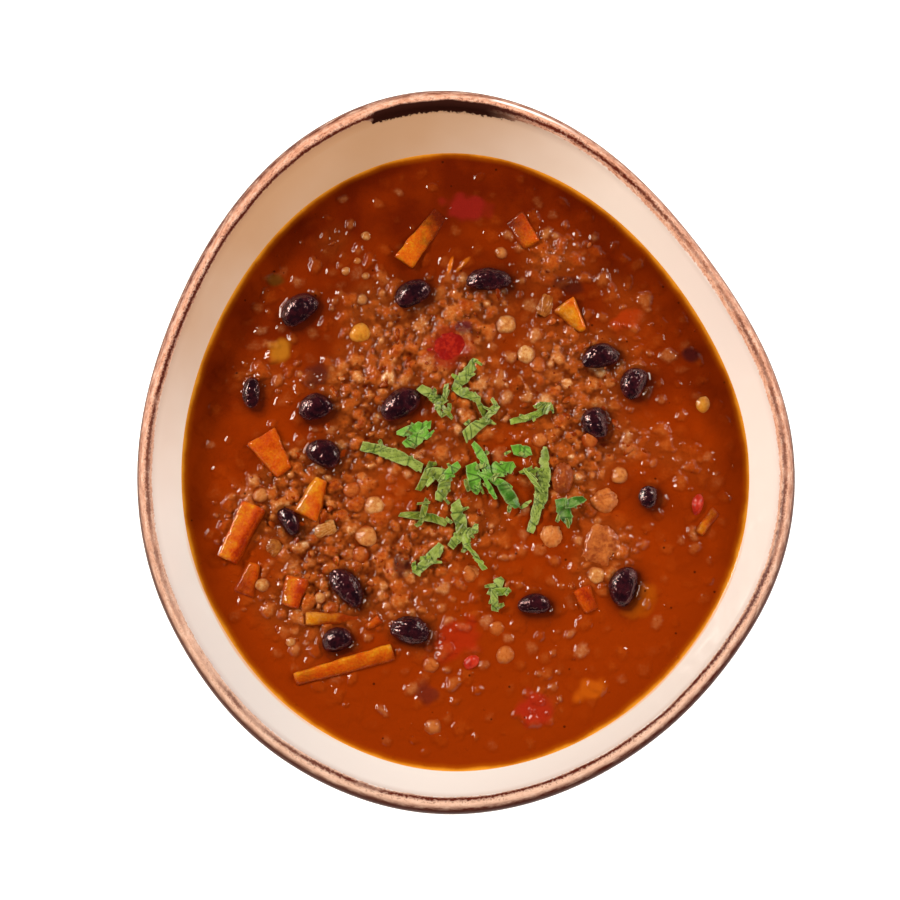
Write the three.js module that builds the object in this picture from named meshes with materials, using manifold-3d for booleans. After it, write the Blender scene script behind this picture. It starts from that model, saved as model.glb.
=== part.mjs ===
// A bowl of harira: a hand-shaped stoneware bowl with thick lentil soup, black beans, carrot,
// tomato, chickpeas, onion and chopped coriander. Millimetres, +Z up, standing on z = 0.
// +Y is the far side of the bowl, where its painted rim is darkest.
import * as THREE from "three";
import { mergeVertices } from "three/addons/utils/BufferGeometryUtils.js";
import Module from "manifold-3d";

const wasm = await Module();
wasm.setup();

// Bowl
const BOWL_HEIGHT = 60;
const RIM_RADIUS = 111.5;
const LIP_THICKNESS = 5.5;
const FOOT_RADIUS = 50;
const FOOT_HEIGHT = 7;
const FOOT_RING_WIDTH = 6;
const FOOT_RECESS = 3.5;
const FOOT_EDGE = 0.8;
// The foot sits a little off the middle of the rim's waves, as on a bowl shaped by hand.
const FOOT_SHIFT = [2.4, -1.4];
const FLOOR_HEIGHT = 9;
const FLOOR_RADIUS = 30;
const OUTER_CURVE = 0.4;
const INNER_CURVE = 0.35;
const TURN_SEGMENTS = 60;

// The rim is a soft, three-cornered oval. Each wave is a share of the radius at the rim, and
// fades towards the round foot with a power of the height.
const RIM_WAVES = [
  { count: 2, share: 0.058, turn: -171, fade: 0.36 },
  { count: 3, share: 0.028, turn: -50, fade: 1.38 },
  { count: 4, share: 0.016, turn: 5, fade: 1.2 },
];

// Soup
const SOUP_BELOW_RIM = 17;
const CLEARANCE = 0.4;
const LENTIL_RADIUS = [2.6, 3.7];
const LENTIL_FLATNESS = 0.6;
const LENTIL_SINK = 0.35;
const LENTIL_COUNT = 56;
const LENTIL_REACH = 84;
const LENTIL_GAP = 0.5;
const LENTIL_TRIES = 4000;
const LENTIL_SIDES = 6;
const LENTIL_RINGS = 4;

// Coriander
const LEAF_THICKNESS = 0.8;
const LEAF_STEP = 3.8;
const LEAF_LIFT = 1.2;
// A blade waves up and down along its run, each one from another start, and cups at its sides.
const LEAF_WAVE = 0.35;
const LEAF_HALF_WAVES = 1.5;
const LEAF_WAVE_START = 0.7;
const LEAF_CUP = 0.14;
// Lentils keep out of three rounds along a blade, each this share of its run wider than the blade.
const LEAF_ROUND = 0.25;

const SOUP_LEVEL = BOWL_HEIGHT - SOUP_BELOW_RIM;
const LIP_RADIUS = LIP_THICKNESS / 2;
const LIP_LEVEL = BOWL_HEIGHT - LIP_RADIUS;

// Finishes
const GLAZE = { color: 0xf0e2d2, roughness: 0.2 };
const SOUP = { color: 0x8e3a0c, roughness: 0.2 };
const BLACK_BEAN = { color: 0x24101a, roughness: 0.25 };
const CARROT = { color: 0xd9650a, roughness: 0.4 };
const TOMATO = { color: 0xa5140f, roughness: 0.25 };
const CHICKPEA = { color: 0xb0672f, roughness: 0.4 };
const POTATO = { color: 0xd08a30, roughness: 0.4 };
const ONION = { color: 0xb4793c, roughness: 0.35 };
const LEAF = { color: 0x5fa63a, roughness: 0.5 };

const paint = (finish) => new THREE.MeshStandardMaterial({ ...finish, metalness: 0 });

// Beans, turned anticlockwise from +X in degrees; rise is how far the top stands out of the soup.
const BEANS = [
  { at: [-53.6, 50.6], length: 14.5, width: 10.5, turn: 40, rise: 3.4 },
  { at: [-15.6, 56.1], length: 13.2, width: 9.9, turn: 28, rise: 3 },
  { at: [9.4, 60.9], length: 15.6, width: 8.6, turn: 0, rise: 2.8 },
  { at: [46.6, 34.6], length: 12.9, width: 9, turn: 12, rise: 3 },
  { at: [58.1, 25.8], length: 11.2, width: 10.2, turn: 60, rise: 3 },
  { at: [45.1, 12.3], length: 11.2, width: 10.2, turn: 100, rise: 3.2 },
  { at: [62.3, -12.5], length: 8, width: 7.3, turn: 80, rise: 2.2 },
  { at: [53.8, -42.4], length: 14, width: 9.6, turn: 76, rise: 3.4 },
  { at: [24.2, -48.3], length: 11.2, width: 7.6, turn: 0, rise: 2.4 },
  { at: [-16.4, -56.9], length: 13.5, width: 9.6, turn: -12, rise: 3.2 },
  { at: [-40.5, -60.1], length: 10.4, width: 8.6, turn: 18, rise: 3 },
  { at: [-37.4, -42.7], length: 14.9, width: 8.7, turn: -50, rise: 3.2 },
  { at: [-56.5, -20.8], length: 10, width: 6.6, turn: -60, rise: 2.8 },
  { at: [-45.3, 1.9], length: 12.5, width: 9.9, turn: -27, rise: 3.2 },
  { at: [-48, 17.4], length: 11.9, width: 10.4, turn: 20, rise: 3.2 },
  { at: [-19.9, 18.4], length: 14.9, width: 10, turn: 35, rise: 3.4 },
  { at: [-69, 22.4], length: 10.9, width: 6.6, turn: 90, rise: 2 },
];

// Cut carrot: sticks and wedges with straight sides. Widths run from the start to the end of the
// length, and roll turns the piece about its length so that two cut faces show.
const CARROTS = [
  { at: [-12.6, 75.7], length: 21.5, widths: [7, 6.4], thickness: 6, turn: 54, roll: 8, rise: 1.6 },
  { at: [-62.5, 1.3], length: 14.5, widths: [8.4, 4.4], thickness: 6.5, turn: -57, roll: -12, rise: 2.2 },
  { at: [-71.6, -25], length: 20, widths: [8.4, 6.6], thickness: 7, turn: -115, roll: 24, rise: 2.6 },
  { at: [-48.4, -13], length: 13.6, widths: [2.6, 6], thickness: 6, turn: -114, roll: 10, rise: 2.4 },
  { at: [-69.3, -40], length: 11, widths: [3, 5.8], thickness: 5, turn: -109, roll: 6, rise: 1.4 },
  { at: [-54.4, -44.3], length: 10, widths: [5.4, 6.4], thickness: 6, turn: 75, roll: -10, rise: 2.2 },
  { at: [-37.9, -68.3], length: 32.6, widths: [4.4, 5.8], thickness: 5.4, turn: 16, roll: 10, rise: 2 },
  { at: [-41.5, -52.9], length: 18, widths: [3.4, 3], thickness: 3.6, turn: 1, roll: 0, rise: 0.9 },
  { at: [-28.4, -54.6], length: 5.6, widths: [2.4, 3.4], thickness: 3.2, turn: 36, roll: 0, rise: 1.4 },
  { at: [37.9, 48], length: 11.4, widths: [6.2, 1.8], thickness: 5.6, turn: -55, roll: 8, rise: 2 },
  { at: [21.2, 77.8], length: 11.6, widths: [7.4, 5.8], thickness: 5.4, turn: -58, roll: 6, rise: 1.2 },
  { at: [81.5, -21], length: 10, widths: [2.6, 4.4], thickness: 4, turn: 52, roll: 12, rise: 1.2 },
  { at: [41.3, -47], length: 8.6, widths: [6.2, 4.8], thickness: 5, turn: -66, roll: -14, rise: 1.8 },
];
const CARROT_EDGE = 0.7;

// Soft pieces with rounded, uneven sides; height is the whole piece, mostly under the soup.
const SOFT_PIECES = [
  { name: "tomato_1", finish: TOMATO, at: [-3.6, 38.4], size: [14, 13, 7], turn: 20, rise: 1.6 },
  { name: "tomato_2", finish: TOMATO, at: [78.4, -15.2], size: [9.3, 4.4, 5], turn: 78, rise: 1.6 },
  { name: "tomato_3", finish: TOMATO, at: [3.6, -67.3], size: [7, 5.2, 5], turn: 40, rise: 1.6 },
  { name: "chickpea_1", finish: CHICKPEA, at: [33.9, -6.1], size: [12.8, 9, 9], turn: 84, rise: 2.8 },
  { name: "chickpea_2", finish: CHICKPEA, at: [47.8, -13.8], size: [10, 8.8, 8], turn: 15, rise: 2.8 },
  { name: "chickpea_3", finish: CHICKPEA, at: [46.3, -28.4], size: [15.8, 13.4, 5], turn: 48, rise: 2 },
  { name: "chickpea_4", finish: CHICKPEA, at: [30.2, -25.8], size: [9.4, 9, 8], turn: 80, rise: 2.2 },
  { name: "chickpea_5", finish: CHICKPEA, at: [3.7, -37.4], size: [8.4, 8, 7], turn: 0, rise: 1.3 },
  { name: "potato_1", finish: POTATO, at: [-33.3, 42.8], size: [9.2, 8, 7], turn: 25, rise: 1.8 },
  { name: "potato_2", finish: POTATO, at: [80.6, 18.7], size: [8, 6.8, 6], turn: 80, rise: 1.2 },
  { name: "onion_1", finish: ONION, at: [28.2, 51.2], size: [11.4, 6.4, 4.4], turn: 72, rise: 1.6 },
  { name: "onion_2", finish: ONION, at: [-43.6, -23], size: [9.4, 6, 4.4], turn: 20, rise: 1.8 },
  { name: "onion_3", finish: ONION, at: [-60.8, -29.1], size: [6.8, 5.8, 4], turn: 30, rise: 1.6 },
];

// Chopped coriander: each piece is a few cut leaf blades that cross and hold together. A blade
// runs from one end to the other; ends give its width at each end as a share of the full width.
const CORIANDER = [
  [
    { from: [-13.4, 24.4], to: [-5, 18.8], width: 3.6, ends: [0.9, 0.9] },
    { from: [-6.4, 18.6], to: [-3.8, 23.4], width: 2.2, ends: [0.5, 0.7] },
    { from: [-8.6, 20.4], to: [-6.2, 14.6], width: 1.9, ends: [0.6, 0.8] },
    { from: [-6.6, 18.4], to: [-2.8, 14], width: 1.8, ends: [0.7, 0.8] },
  ],
  [
    { from: [5.6, 33.8], to: [-1.8, 23.4], width: 4.2, ends: [0.7, 0.9], teeth: 0.12 },
    { from: [-1.4, 24.2], to: [6.8, 19.4], width: 3.4, ends: [0.8, 0.9], teeth: 0.25 },
    { from: [5.4, 20.2], to: [9.8, 11.8], width: 2.4, ends: [0.5, 0.6] },
    { from: [8, 13], to: [12.6, 18], width: 2.6, ends: [0.7, 0.8], teeth: 0.2 },
    { from: [8.6, 13.2], to: [1.4, 7.2], width: 4.6, ends: [0.5, 0.8], teeth: 0.15 },
  ],
  [
    { from: [-21, 8.8], to: [-9.6, 11.4], width: 4.6, ends: [0.3, 0.7], teeth: 0.22 },
    { from: [-18.4, 4.4], to: [-10.4, 9.2], width: 5.2, ends: [0.4, 0.7], teeth: 0.18 },
  ],
  [{ from: [-32.6, 4.4], to: [-12.4, -2.9], width: 4.4, ends: [0.7, 0.9], teeth: 0.08, bow: 0.8 }],
  [
    { from: [-9.4, -1], to: [-13.9, -10.4], width: 3.5, ends: [0.5, 0.7], bow: 0.5 },
    { from: [-11, -4.6], to: [-4, -5.4], width: 5, ends: [0.6, 0.8] },
    { from: [-7, -14], to: [-4.2, -6.2], width: 4.6, ends: [0.6, 0.8] },
    { from: [-5.6, -6.6], to: [-0.2, -1.8], width: 3.2, ends: [0.8, 0.8] },
  ],
  [
    { from: [3.6, -1.6], to: [5.7, -11.9], width: 5.6, ends: [0.9, 0.1] },
    { from: [4.2, 5.2], to: [9.6, -5], width: 3.2, ends: [0.5, 0.6], bow: 0.5 },
    { from: [6.8, -6], to: [18, -1.6], width: 6.2, ends: [0.5, 0.5], teeth: 0.2 },
    { from: [8, -6.4], to: [11.8, -13.6], width: 2.2, ends: [0.5, 0.6] },
    { from: [10, -6.6], to: [17.2, -10], width: 3.4, ends: [0.6, 0.5] },
    { from: [13.6, -8.4], to: [18.8, -16.6], width: 5.2, ends: [0.7, 0.4] },
  ],
  [{ from: [17.2, 3.2], to: [23.6, 2.6], width: 4.4, ends: [0.7, 0.7] }],
  [
    { from: [16.6, 12.6], to: [30, 17.4], width: 2.7, ends: [0.8, 0.9], bow: -0.6 },
    { from: [26.2, 18.8], to: [30.8, 17.6], width: 2.2, ends: [0.7, 0.6] },
  ],
  [
    { from: [28.2, 4.2], to: [22.9, -24.4], width: 5, ends: [0.4, 0.5], teeth: 0.12, bow: 1.4 },
    { from: [19.6, -4.6], to: [27.4, -3.6], width: 1.8, ends: [0.5, 0.6] },
    { from: [21, -3.4], to: [27.4, -11.6], width: 1.7, ends: [0.5, 0.7] },
  ],
  [
    { from: [33.2, -13.4], to: [35.6, -22.6], width: 5.8, ends: [0.8, 0.1], lift: 2.4 },
    { from: [34.6, -15.6], to: [41, -13.4], width: 4.2, ends: [0.8, 0.5], lift: 2.6 },
  ],
  [
    { from: [-20, -18.6], to: [-4.2, -21.4], width: 3.4, ends: [0.5, 0.8], bow: 0.9 },
    { from: [-12.6, -19.6], to: [-10.8, -13.4], width: 2.6, ends: [0.8, 0.6], lift: 1.4 },
  ],
  [
    { from: [-1.8, -14.4], to: [1.2, -26], width: 5, ends: [0.8, 0.8], teeth: 0.1 },
    { from: [-3.2, -29.4], to: [1, -24], width: 3.8, ends: [0.8, 0.7] },
    { from: [0.2, -24.6], to: [6, -24], width: 3, ends: [0.8, 0.5] },
    { from: [1.4, -25], to: [2.6, -30.4], width: 3, ends: [0.7, 0.9] },
    { from: [2.2, -28.6], to: [8.2, -37], width: 2, ends: [0.8, 0.7], teeth: 0.3 },
  ],
  [{ from: [-6, -28.6], to: [-14.8, -38.2], width: 4.2, ends: [0.8, 0.8], teeth: 0.1, bow: 0.6 }],
  [
    { from: [14, -39.6], to: [10.2, -45.4], width: 4.6, ends: [0.5, 0.8], teeth: 0.1 },
    { from: [10.4, -44.4], to: [16.8, -43.8], width: 3, ends: [0.8, 0.2] },
    { from: [11.2, -43.6], to: [11.4, -50.6], width: 3, ends: [0.8, 0.8] },
  ],
];

// How far a height is up the bowl's wall, from 0 at the foot to 1 at the lip.
function wallClimb(z) {
  return THREE.MathUtils.clamp((z - FOOT_HEIGHT) / (LIP_LEVEL - FOOT_HEIGHT), 0, 1);
}

// A radius is stretched by this much in the direction of the angle.
function outlineStretch(angle, climb) {
  let stretch = 1;
  for (const wave of RIM_WAVES) {
    const phase = wave.count * angle - THREE.MathUtils.degToRad(wave.turn);
    stretch += wave.share * climb ** wave.fade * Math.cos(phase);
  }
  return stretch;
}

// Corners nearer than this are one corner.
const MERGE_DISTANCE = 1e-4;

// Leaves only positions, with shared corners merged, flat triangles dropped and faces outward.
function closeSurface(geometry) {
  geometry.deleteAttribute("normal");
  geometry.deleteAttribute("uv");
  const merged = mergeVertices(geometry, MERGE_DISTANCE);
  const corners = merged.index.array;
  const kept = [];
  const a = new THREE.Vector3();
  const b = new THREE.Vector3();
  const c = new THREE.Vector3();
  let volume = 0;
  for (let i = 0; i < corners.length; i += 3) {
    const [p, q, r] = [corners[i], corners[i + 1], corners[i + 2]];
    if (p === q || q === r || r === p) {
      continue;
    }
    kept.push(p, q, r);
    a.fromBufferAttribute(merged.attributes.position, p);
    b.fromBufferAttribute(merged.attributes.position, q);
    c.fromBufferAttribute(merged.attributes.position, r);
    volume += a.dot(b.cross(c));
  }
  if (volume < 0) {
    kept.reverse();
  }
  merged.setIndex(kept);
  return merged;
}

function toSolid(geometry) {
  const vertProperties = new Float32Array(geometry.attributes.position.array);
  const triVerts = new Uint32Array(geometry.index.array);
  return new wasm.Manifold(new wasm.Mesh({ numProp: 3, vertProperties, triVerts }));
}

function toGeometry(solid) {
  const { vertProperties, triVerts } = solid.getMesh();
  const geometry = new THREE.BufferGeometry();
  geometry.setAttribute("position", new THREE.BufferAttribute(vertProperties, 3));
  geometry.setIndex(new THREE.BufferAttribute(triVerts, 1));
  return geometry;
}

// Turns a profile of [radius, height] points about Z and stretches it to the bowl's outline.
function turnProfile(profile) {
  const points = profile.map(([radius, height]) => new THREE.Vector2(radius, height));
  const geometry = new THREE.LatheGeometry(points, TURN_SEGMENTS);
  geometry.rotateX(Math.PI / 2);
  const position = geometry.attributes.position;
  for (let i = 0; i < position.count; i += 1) {
    const x = position.getX(i);
    const y = position.getY(i);
    const climb = wallClimb(position.getZ(i));
    const stretch = outlineStretch(Math.atan2(y, x), climb);
    const lean = 1 - climb;
    position.setXY(i, x * stretch + FOOT_SHIFT[0] * lean, y * stretch + FOOT_SHIFT[1] * lean);
  }
  return closeSurface(geometry);
}

const outerRadius = (z) => {
  const climb = (z - FOOT_HEIGHT) / (LIP_LEVEL - FOOT_HEIGHT);
  return FOOT_RADIUS + (RIM_RADIUS - FOOT_RADIUS) * climb ** OUTER_CURVE;
};
const innerRadius = (z) => {
  const climb = (z - FLOOR_HEIGHT) / (LIP_LEVEL - FLOOR_HEIGHT);
  return FLOOR_RADIUS + (RIM_RADIUS - LIP_THICKNESS - FLOOR_RADIUS) * climb ** INNER_CURVE;
};

const OUTER_LEVELS = [FOOT_HEIGHT, 7.4, 8.8, 12, 18, 28, 42];
const INNER_LEVELS = [50, SOUP_LEVEL, 29, 18, 11.5, FLOOR_HEIGHT];
const LIP_STEPS = 4;

function bowlGeometry() {
  const ringInner = FOOT_RADIUS - FOOT_RING_WIDTH;
  const profile = [
    [0, FOOT_RECESS],
    [ringInner - FOOT_RECESS, FOOT_RECESS],
    [ringInner, 0],
    [FOOT_RADIUS - FOOT_EDGE, 0],
    [FOOT_RADIUS, FOOT_EDGE],
  ];
  for (const z of OUTER_LEVELS) {
    profile.push([outerRadius(z), z]);
  }
  for (let i = 0; i <= LIP_STEPS; i += 1) {
    const swing = (Math.PI * i) / LIP_STEPS;
    const radius = RIM_RADIUS - LIP_RADIUS + LIP_RADIUS * Math.cos(swing);
    profile.push([radius, LIP_LEVEL + LIP_RADIUS * Math.sin(swing)]);
  }
  for (const z of INNER_LEVELS) {
    profile.push([innerRadius(z), z]);
  }
  profile.push([0, FLOOR_HEIGHT]);
  return turnProfile(profile);
}

// The soup fills the bowl to its level, a hair inside the wall.
function soupGeometry() {
  const profile = [[0, FLOOR_HEIGHT + CLEARANCE]];
  for (const z of [...INNER_LEVELS].reverse()) {
    if (z < SOUP_LEVEL) {
      profile.push([innerRadius(z) - CLEARANCE, z + CLEARANCE]);
    }
  }
  profile.push([innerRadius(SOUP_LEVEL) - CLEARANCE, SOUP_LEVEL]);
  profile.push([0, SOUP_LEVEL]);
  return turnProfile(profile).translate(0, 0, -SOUP_LEVEL);
}

// A bean lies along X, a little bowed, and blunter at its ends than an egg.
const BEAN_BLUNT = 0.86;
const BEAN_BOW = 0.1;
const BEAN_BOW_MIDDLE = 0.5;
const BEAN_HEIGHT = 0.88;
const BEAN_SIDES = 10;
const BEAN_RINGS = 6;

function beanGeometry({ length, width }, grow) {
  const geometry = new THREE.SphereGeometry(1, BEAN_SIDES, BEAN_RINGS);
  geometry.rotateZ(Math.PI / 2);
  const position = geometry.attributes.position;
  for (let i = 0; i < position.count; i += 1) {
    const along = Math.sign(position.getX(i)) * Math.abs(position.getX(i)) ** BEAN_BLUNT;
    const bow = BEAN_BOW * width * (BEAN_BOW_MIDDLE - along * along);
    position.setXYZ(
      i,
      along * (length / 2 + grow),
      position.getY(i) * (width / 2 + grow) + bow,
      position.getZ(i) * ((BEAN_HEIGHT * width) / 2 + grow),
    );
  }
  return closeSurface(geometry);
}

// A cut piece lies along X with straight sides and slightly worn edges.
function cutGeometry({ length, widths, thickness }, grow) {
  const shape = new THREE.Shape();
  shape.moveTo(-length / 2, -widths[0] / 2);
  shape.lineTo(length / 2, -widths[1] / 2);
  shape.lineTo(length / 2, widths[1] / 2);
  shape.lineTo(-length / 2, widths[0] / 2);
  shape.closePath();
  const depth = thickness - 2 * CARROT_EDGE;
  const geometry = new THREE.ExtrudeGeometry(shape, {
    depth,
    steps: 1,
    bevelEnabled: true,
    bevelSegments: 1,
    bevelSize: CARROT_EDGE,
    bevelThickness: CARROT_EDGE + grow,
    bevelOffset: grow - CARROT_EDGE,
  });
  geometry.translate(0, 0, -depth / 2);
  return closeSurface(geometry);
}

// A soft piece is an egg with shallow dents round its side.
const SOFT_DENTS = 3;
const SOFT_DENT_DEPTH = 0.06;
const SOFT_SIDES = 9;
const SOFT_RINGS = 6;

function softGeometry({ size }, grow) {
  const geometry = new THREE.SphereGeometry(1, SOFT_SIDES, SOFT_RINGS);
  geometry.rotateX(Math.PI / 2);
  const position = geometry.attributes.position;
  for (let i = 0; i < position.count; i += 1) {
    const [x, y] = [position.getX(i), position.getY(i)];
    const dent = 1 + SOFT_DENT_DEPTH * Math.cos(SOFT_DENTS * Math.atan2(y, x) + size[0]);
    position.setXYZ(
      i,
      x * dent * (size[0] / 2 + grow),
      y * dent * (size[1] / 2 + grow),
      position.getZ(i) * (size[2] / 2 + grow),
    );
  }
  return closeSurface(geometry);
}

// A leaf blade is a thin wavy strip, its upper and lower faces split into triangles alike.
function bladeGeometry({ from, to, width, ends, teeth = 0, bow = 0, lift = LEAF_LIFT }, order) {
  const run = new THREE.Vector2(to[0] - from[0], to[1] - from[1]);
  const steps = Math.max(2, Math.round(run.length() / LEAF_STEP));
  const side = new THREE.Vector2(-run.y, run.x).normalize();
  const points = [];
  for (const face of [0.5, -0.5]) {
    for (let i = 0; i <= steps; i += 1) {
      const along = i / steps;
      const belly = Math.sin(Math.PI * along);
      const taper = ends[0] + (ends[1] - ends[0]) * along;
      const notch = i % 2 ? 1 - teeth : 1 + teeth;
      const half = (width / 2) * notch * (taper + (1 - taper) * belly);
      const phase = LEAF_HALF_WAVES * along + LEAF_WAVE_START * order;
      const height = lift + LEAF_WAVE * Math.sin(Math.PI * phase);
      for (const across of [-1, 0, 1]) {
        const shift = bow * belly + across * half;
        const cup = LEAF_CUP * across * across;
        points.push(
          from[0] + run.x * along + side.x * shift,
          from[1] + run.y * along + side.y * shift,
          height + cup + face * LEAF_THICKNESS,
        );
      }
    }
  }
  const lower = (steps + 1) * 3;
  const corner = (i, j) => i * 3 + j;
  const triangles = [];
  const quad = (p, q, r, s) => triangles.push(p, q, r, p, r, s);
  for (let i = 0; i < steps; i += 1) {
    for (let j = 0; j < 2; j += 1) {
      const [p, q] = [corner(i, j), corner(i + 1, j)];
      const [r, s] = [corner(i + 1, j + 1), corner(i, j + 1)];
      quad(p, q, r, s);
      triangles.push(lower + p, lower + r, lower + q, lower + p, lower + s, lower + r);
    }
    quad(corner(i, 0), lower + corner(i, 0), lower + corner(i + 1, 0), corner(i + 1, 0));
    quad(corner(i + 1, 2), lower + corner(i + 1, 2), lower + corner(i, 2), corner(i, 2));
  }
  for (let j = 0; j < 2; j += 1) {
    quad(corner(0, j + 1), lower + corner(0, j + 1), lower + corner(0, j), corner(0, j));
    const [p, q] = [corner(steps, j), corner(steps, j + 1)];
    quad(p, lower + p, lower + q, q);
  }
  const geometry = new THREE.BufferGeometry();
  geometry.setAttribute("position", new THREE.Float32BufferAttribute(points, 3));
  geometry.setIndex(triangles);
  return closeSurface(geometry);
}

// Everything in the bowl lies in one group whose z = 0 is the soup's surface.
const filling = new THREE.Group();
filling.position.z = SOUP_LEVEL;
const pockets = [];
const taken = [];
const serial = (i) => String(i + 1).padStart(2, "0");

// Lays a piece in the soup, and keeps the slightly larger shape that the soup leaves for it.
function lay(name, shape, item, height, finish) {
  const mesh = new THREE.Mesh(shape(item, 0), paint(finish));
  mesh.name = name;
  mesh.position.set(item.at[0], item.at[1], item.rise - height / 2);
  const roll = THREE.MathUtils.degToRad(item.roll ?? 0);
  mesh.rotation.set(roll, 0, THREE.MathUtils.degToRad(item.turn), "ZYX");
  mesh.updateMatrix();
  filling.add(mesh);
  const pocket = shape(item, CLEARANCE).applyMatrix4(mesh.matrix);
  pockets.push(pocket);
  pocket.computeBoundingSphere();
  const { center, radius } = pocket.boundingSphere;
  taken.push({ x: center.x, y: center.y, radius });
}

BEANS.forEach((bean, i) => {
  lay(`black_bean_${serial(i)}`, beanGeometry, bean, BEAN_HEIGHT * bean.width, BLACK_BEAN);
});
CARROTS.forEach((carrot, i) => {
  lay(`carrot_${serial(i)}`, cutGeometry, carrot, carrot.thickness, CARROT);
});
SOFT_PIECES.forEach((soft) => {
  lay(soft.name, softGeometry, soft, soft.size[2], soft.finish);
});

CORIANDER.forEach((blades, i) => {
  const solids = blades.map((blade, order) => toSolid(bladeGeometry(blade, order)));
  const joined = solids.reduce((whole, blade) => whole.add(blade));
  const mesh = new THREE.Mesh(toGeometry(joined), paint(LEAF));
  mesh.name = `coriander_${serial(i)}`;
  filling.add(mesh);
  for (const { from, to, width } of blades) {
    for (const along of [0, 0.5, 1]) {
      const x = from[0] + (to[0] - from[0]) * along;
      const y = from[1] + (to[1] - from[1]) * along;
      const run = Math.hypot(to[0] - from[0], to[1] - from[1]);
      taken.push({ x, y, radius: width / 2 + LEAF_ROUND * run });
    }
  }
});

// A small repeatable stream of numbers from 0 to 1 that scatters the lentils.
const DRAW_STEP = 16807;
const DRAW_RANGE = 2147483647;
let seed = 7;
function draw() {
  seed = (seed * DRAW_STEP) % DRAW_RANGE;
  return seed / DRAW_RANGE;
}

// Lentils lie all over the soup between the larger pieces, the largest first.
function scatterLentils() {
  const lentils = [];
  for (let i = 0; i < LENTIL_TRIES && lentils.length < LENTIL_COUNT; i += 1) {
    const angle = 2 * Math.PI * draw();
    const reach = LENTIL_REACH * Math.sqrt(draw());
    const radius = THREE.MathUtils.lerp(LENTIL_RADIUS[1], LENTIL_RADIUS[0], i / LENTIL_TRIES);
    const [x, y] = [reach * Math.cos(angle), reach * Math.sin(angle)];
    const room = radius + LENTIL_GAP;
    const apart = (other) => Math.hypot(x - other.x, y - other.y) > room + other.radius;
    if ([...taken, ...lentils].every(apart)) {
      lentils.push({ x, y, radius });
    }
  }
  return lentils;
}

let soup = toSolid(soupGeometry());
for (const { x, y, radius } of scatterLentils()) {
  const lentil = new THREE.SphereGeometry(radius, LENTIL_SIDES, LENTIL_RINGS);
  lentil.rotateX(Math.PI / 2);
  lentil.scale(1, 1, LENTIL_FLATNESS);
  lentil.translate(x, y, -LENTIL_SINK * radius * LENTIL_FLATNESS);
  soup = soup.add(toSolid(closeSurface(lentil)));
}
for (const pocket of pockets) {
  soup = soup.subtract(toSolid(pocket));
}
const soupMesh = new THREE.Mesh(toGeometry(soup), paint(SOUP));
soupMesh.name = "soup";
filling.add(soupMesh);

const bowl = new THREE.Mesh(bowlGeometry(), paint(GLAZE));
bowl.name = "bowl";

// The origin is the middle of the bowl's outline, on the table.
const bowlOfHarira = new THREE.Group();
bowlOfHarira.add(bowl, filling);
const middle = new THREE.Box3().setFromObject(bowl).getCenter(new THREE.Vector3());
bowlOfHarira.position.set(-middle.x, -middle.y, 0);

export default bowlOfHarira;
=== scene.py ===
"""A bowl of harira: a hand-shaped stoneware bowl of lentil soup, dressed on its CAD frame.

Sizes are in metres. Places in the soup are measured from the middle of the rim's waves.
"""

import math
from functools import partial
from typing import NamedTuple

import bmesh
import bpy
import numpy as np
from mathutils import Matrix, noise


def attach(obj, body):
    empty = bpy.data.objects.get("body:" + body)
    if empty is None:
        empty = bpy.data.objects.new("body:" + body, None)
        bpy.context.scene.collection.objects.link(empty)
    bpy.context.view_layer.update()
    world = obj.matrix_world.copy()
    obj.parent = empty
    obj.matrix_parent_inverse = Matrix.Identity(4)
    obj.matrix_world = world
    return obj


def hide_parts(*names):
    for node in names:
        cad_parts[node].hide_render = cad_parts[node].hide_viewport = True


bl_info = {
    "name": "Bowl of Harira",
    "version": (1, 0, 0),
    "blender": (4, 5, 0),
    "location": "View3D > Sidebar > Harira",
    "description": "Dresses a bowl of lentil and bean soup on its CAD frame",
    "category": "Object",
}

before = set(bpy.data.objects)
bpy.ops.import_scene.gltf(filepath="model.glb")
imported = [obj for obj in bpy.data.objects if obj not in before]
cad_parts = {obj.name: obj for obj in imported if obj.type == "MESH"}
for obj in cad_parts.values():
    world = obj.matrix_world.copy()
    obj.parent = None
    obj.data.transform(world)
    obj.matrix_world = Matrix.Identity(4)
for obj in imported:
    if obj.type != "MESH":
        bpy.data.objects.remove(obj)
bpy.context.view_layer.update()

# Bowl, as in the CAD source
BOWL_HEIGHT = 0.06
RIM_RADIUS = 0.1115
LIP_THICKNESS = 0.0055
FOOT_RADIUS = 0.05
FOOT_HEIGHT = 0.007
FOOT_RING_WIDTH = 0.006
FOOT_RECESS = 0.0035
FOOT_EDGE = 0.0008
FOOT_SHIFT = (0.0024, -0.0014)
FLOOR_HEIGHT = 0.009
FLOOR_RADIUS = 0.03
OUTER_CURVE = 0.4
INNER_CURVE = 0.35
LIP_RADIUS = LIP_THICKNESS / 2
LIP_LEVEL = BOWL_HEIGHT - LIP_RADIUS
SOUP_LEVEL = 0.043


class Wave(NamedTuple):
    """One wave of the rim: its count round the bowl, share of the radius, turn and fade."""

    count: int
    share: float
    turn: float
    fade: float


RIM_WAVES = (Wave(2, 0.058, -171, 0.36), Wave(3, 0.028, -50, 1.38), Wave(4, 0.016, 5, 1.2))


class Sunk(NamedTuple):
    """A piece under the soup that only tints it: place, half sizes, turn, colour and strength."""

    at: tuple
    half: tuple
    turn: float
    colour: str
    strength: float


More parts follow.
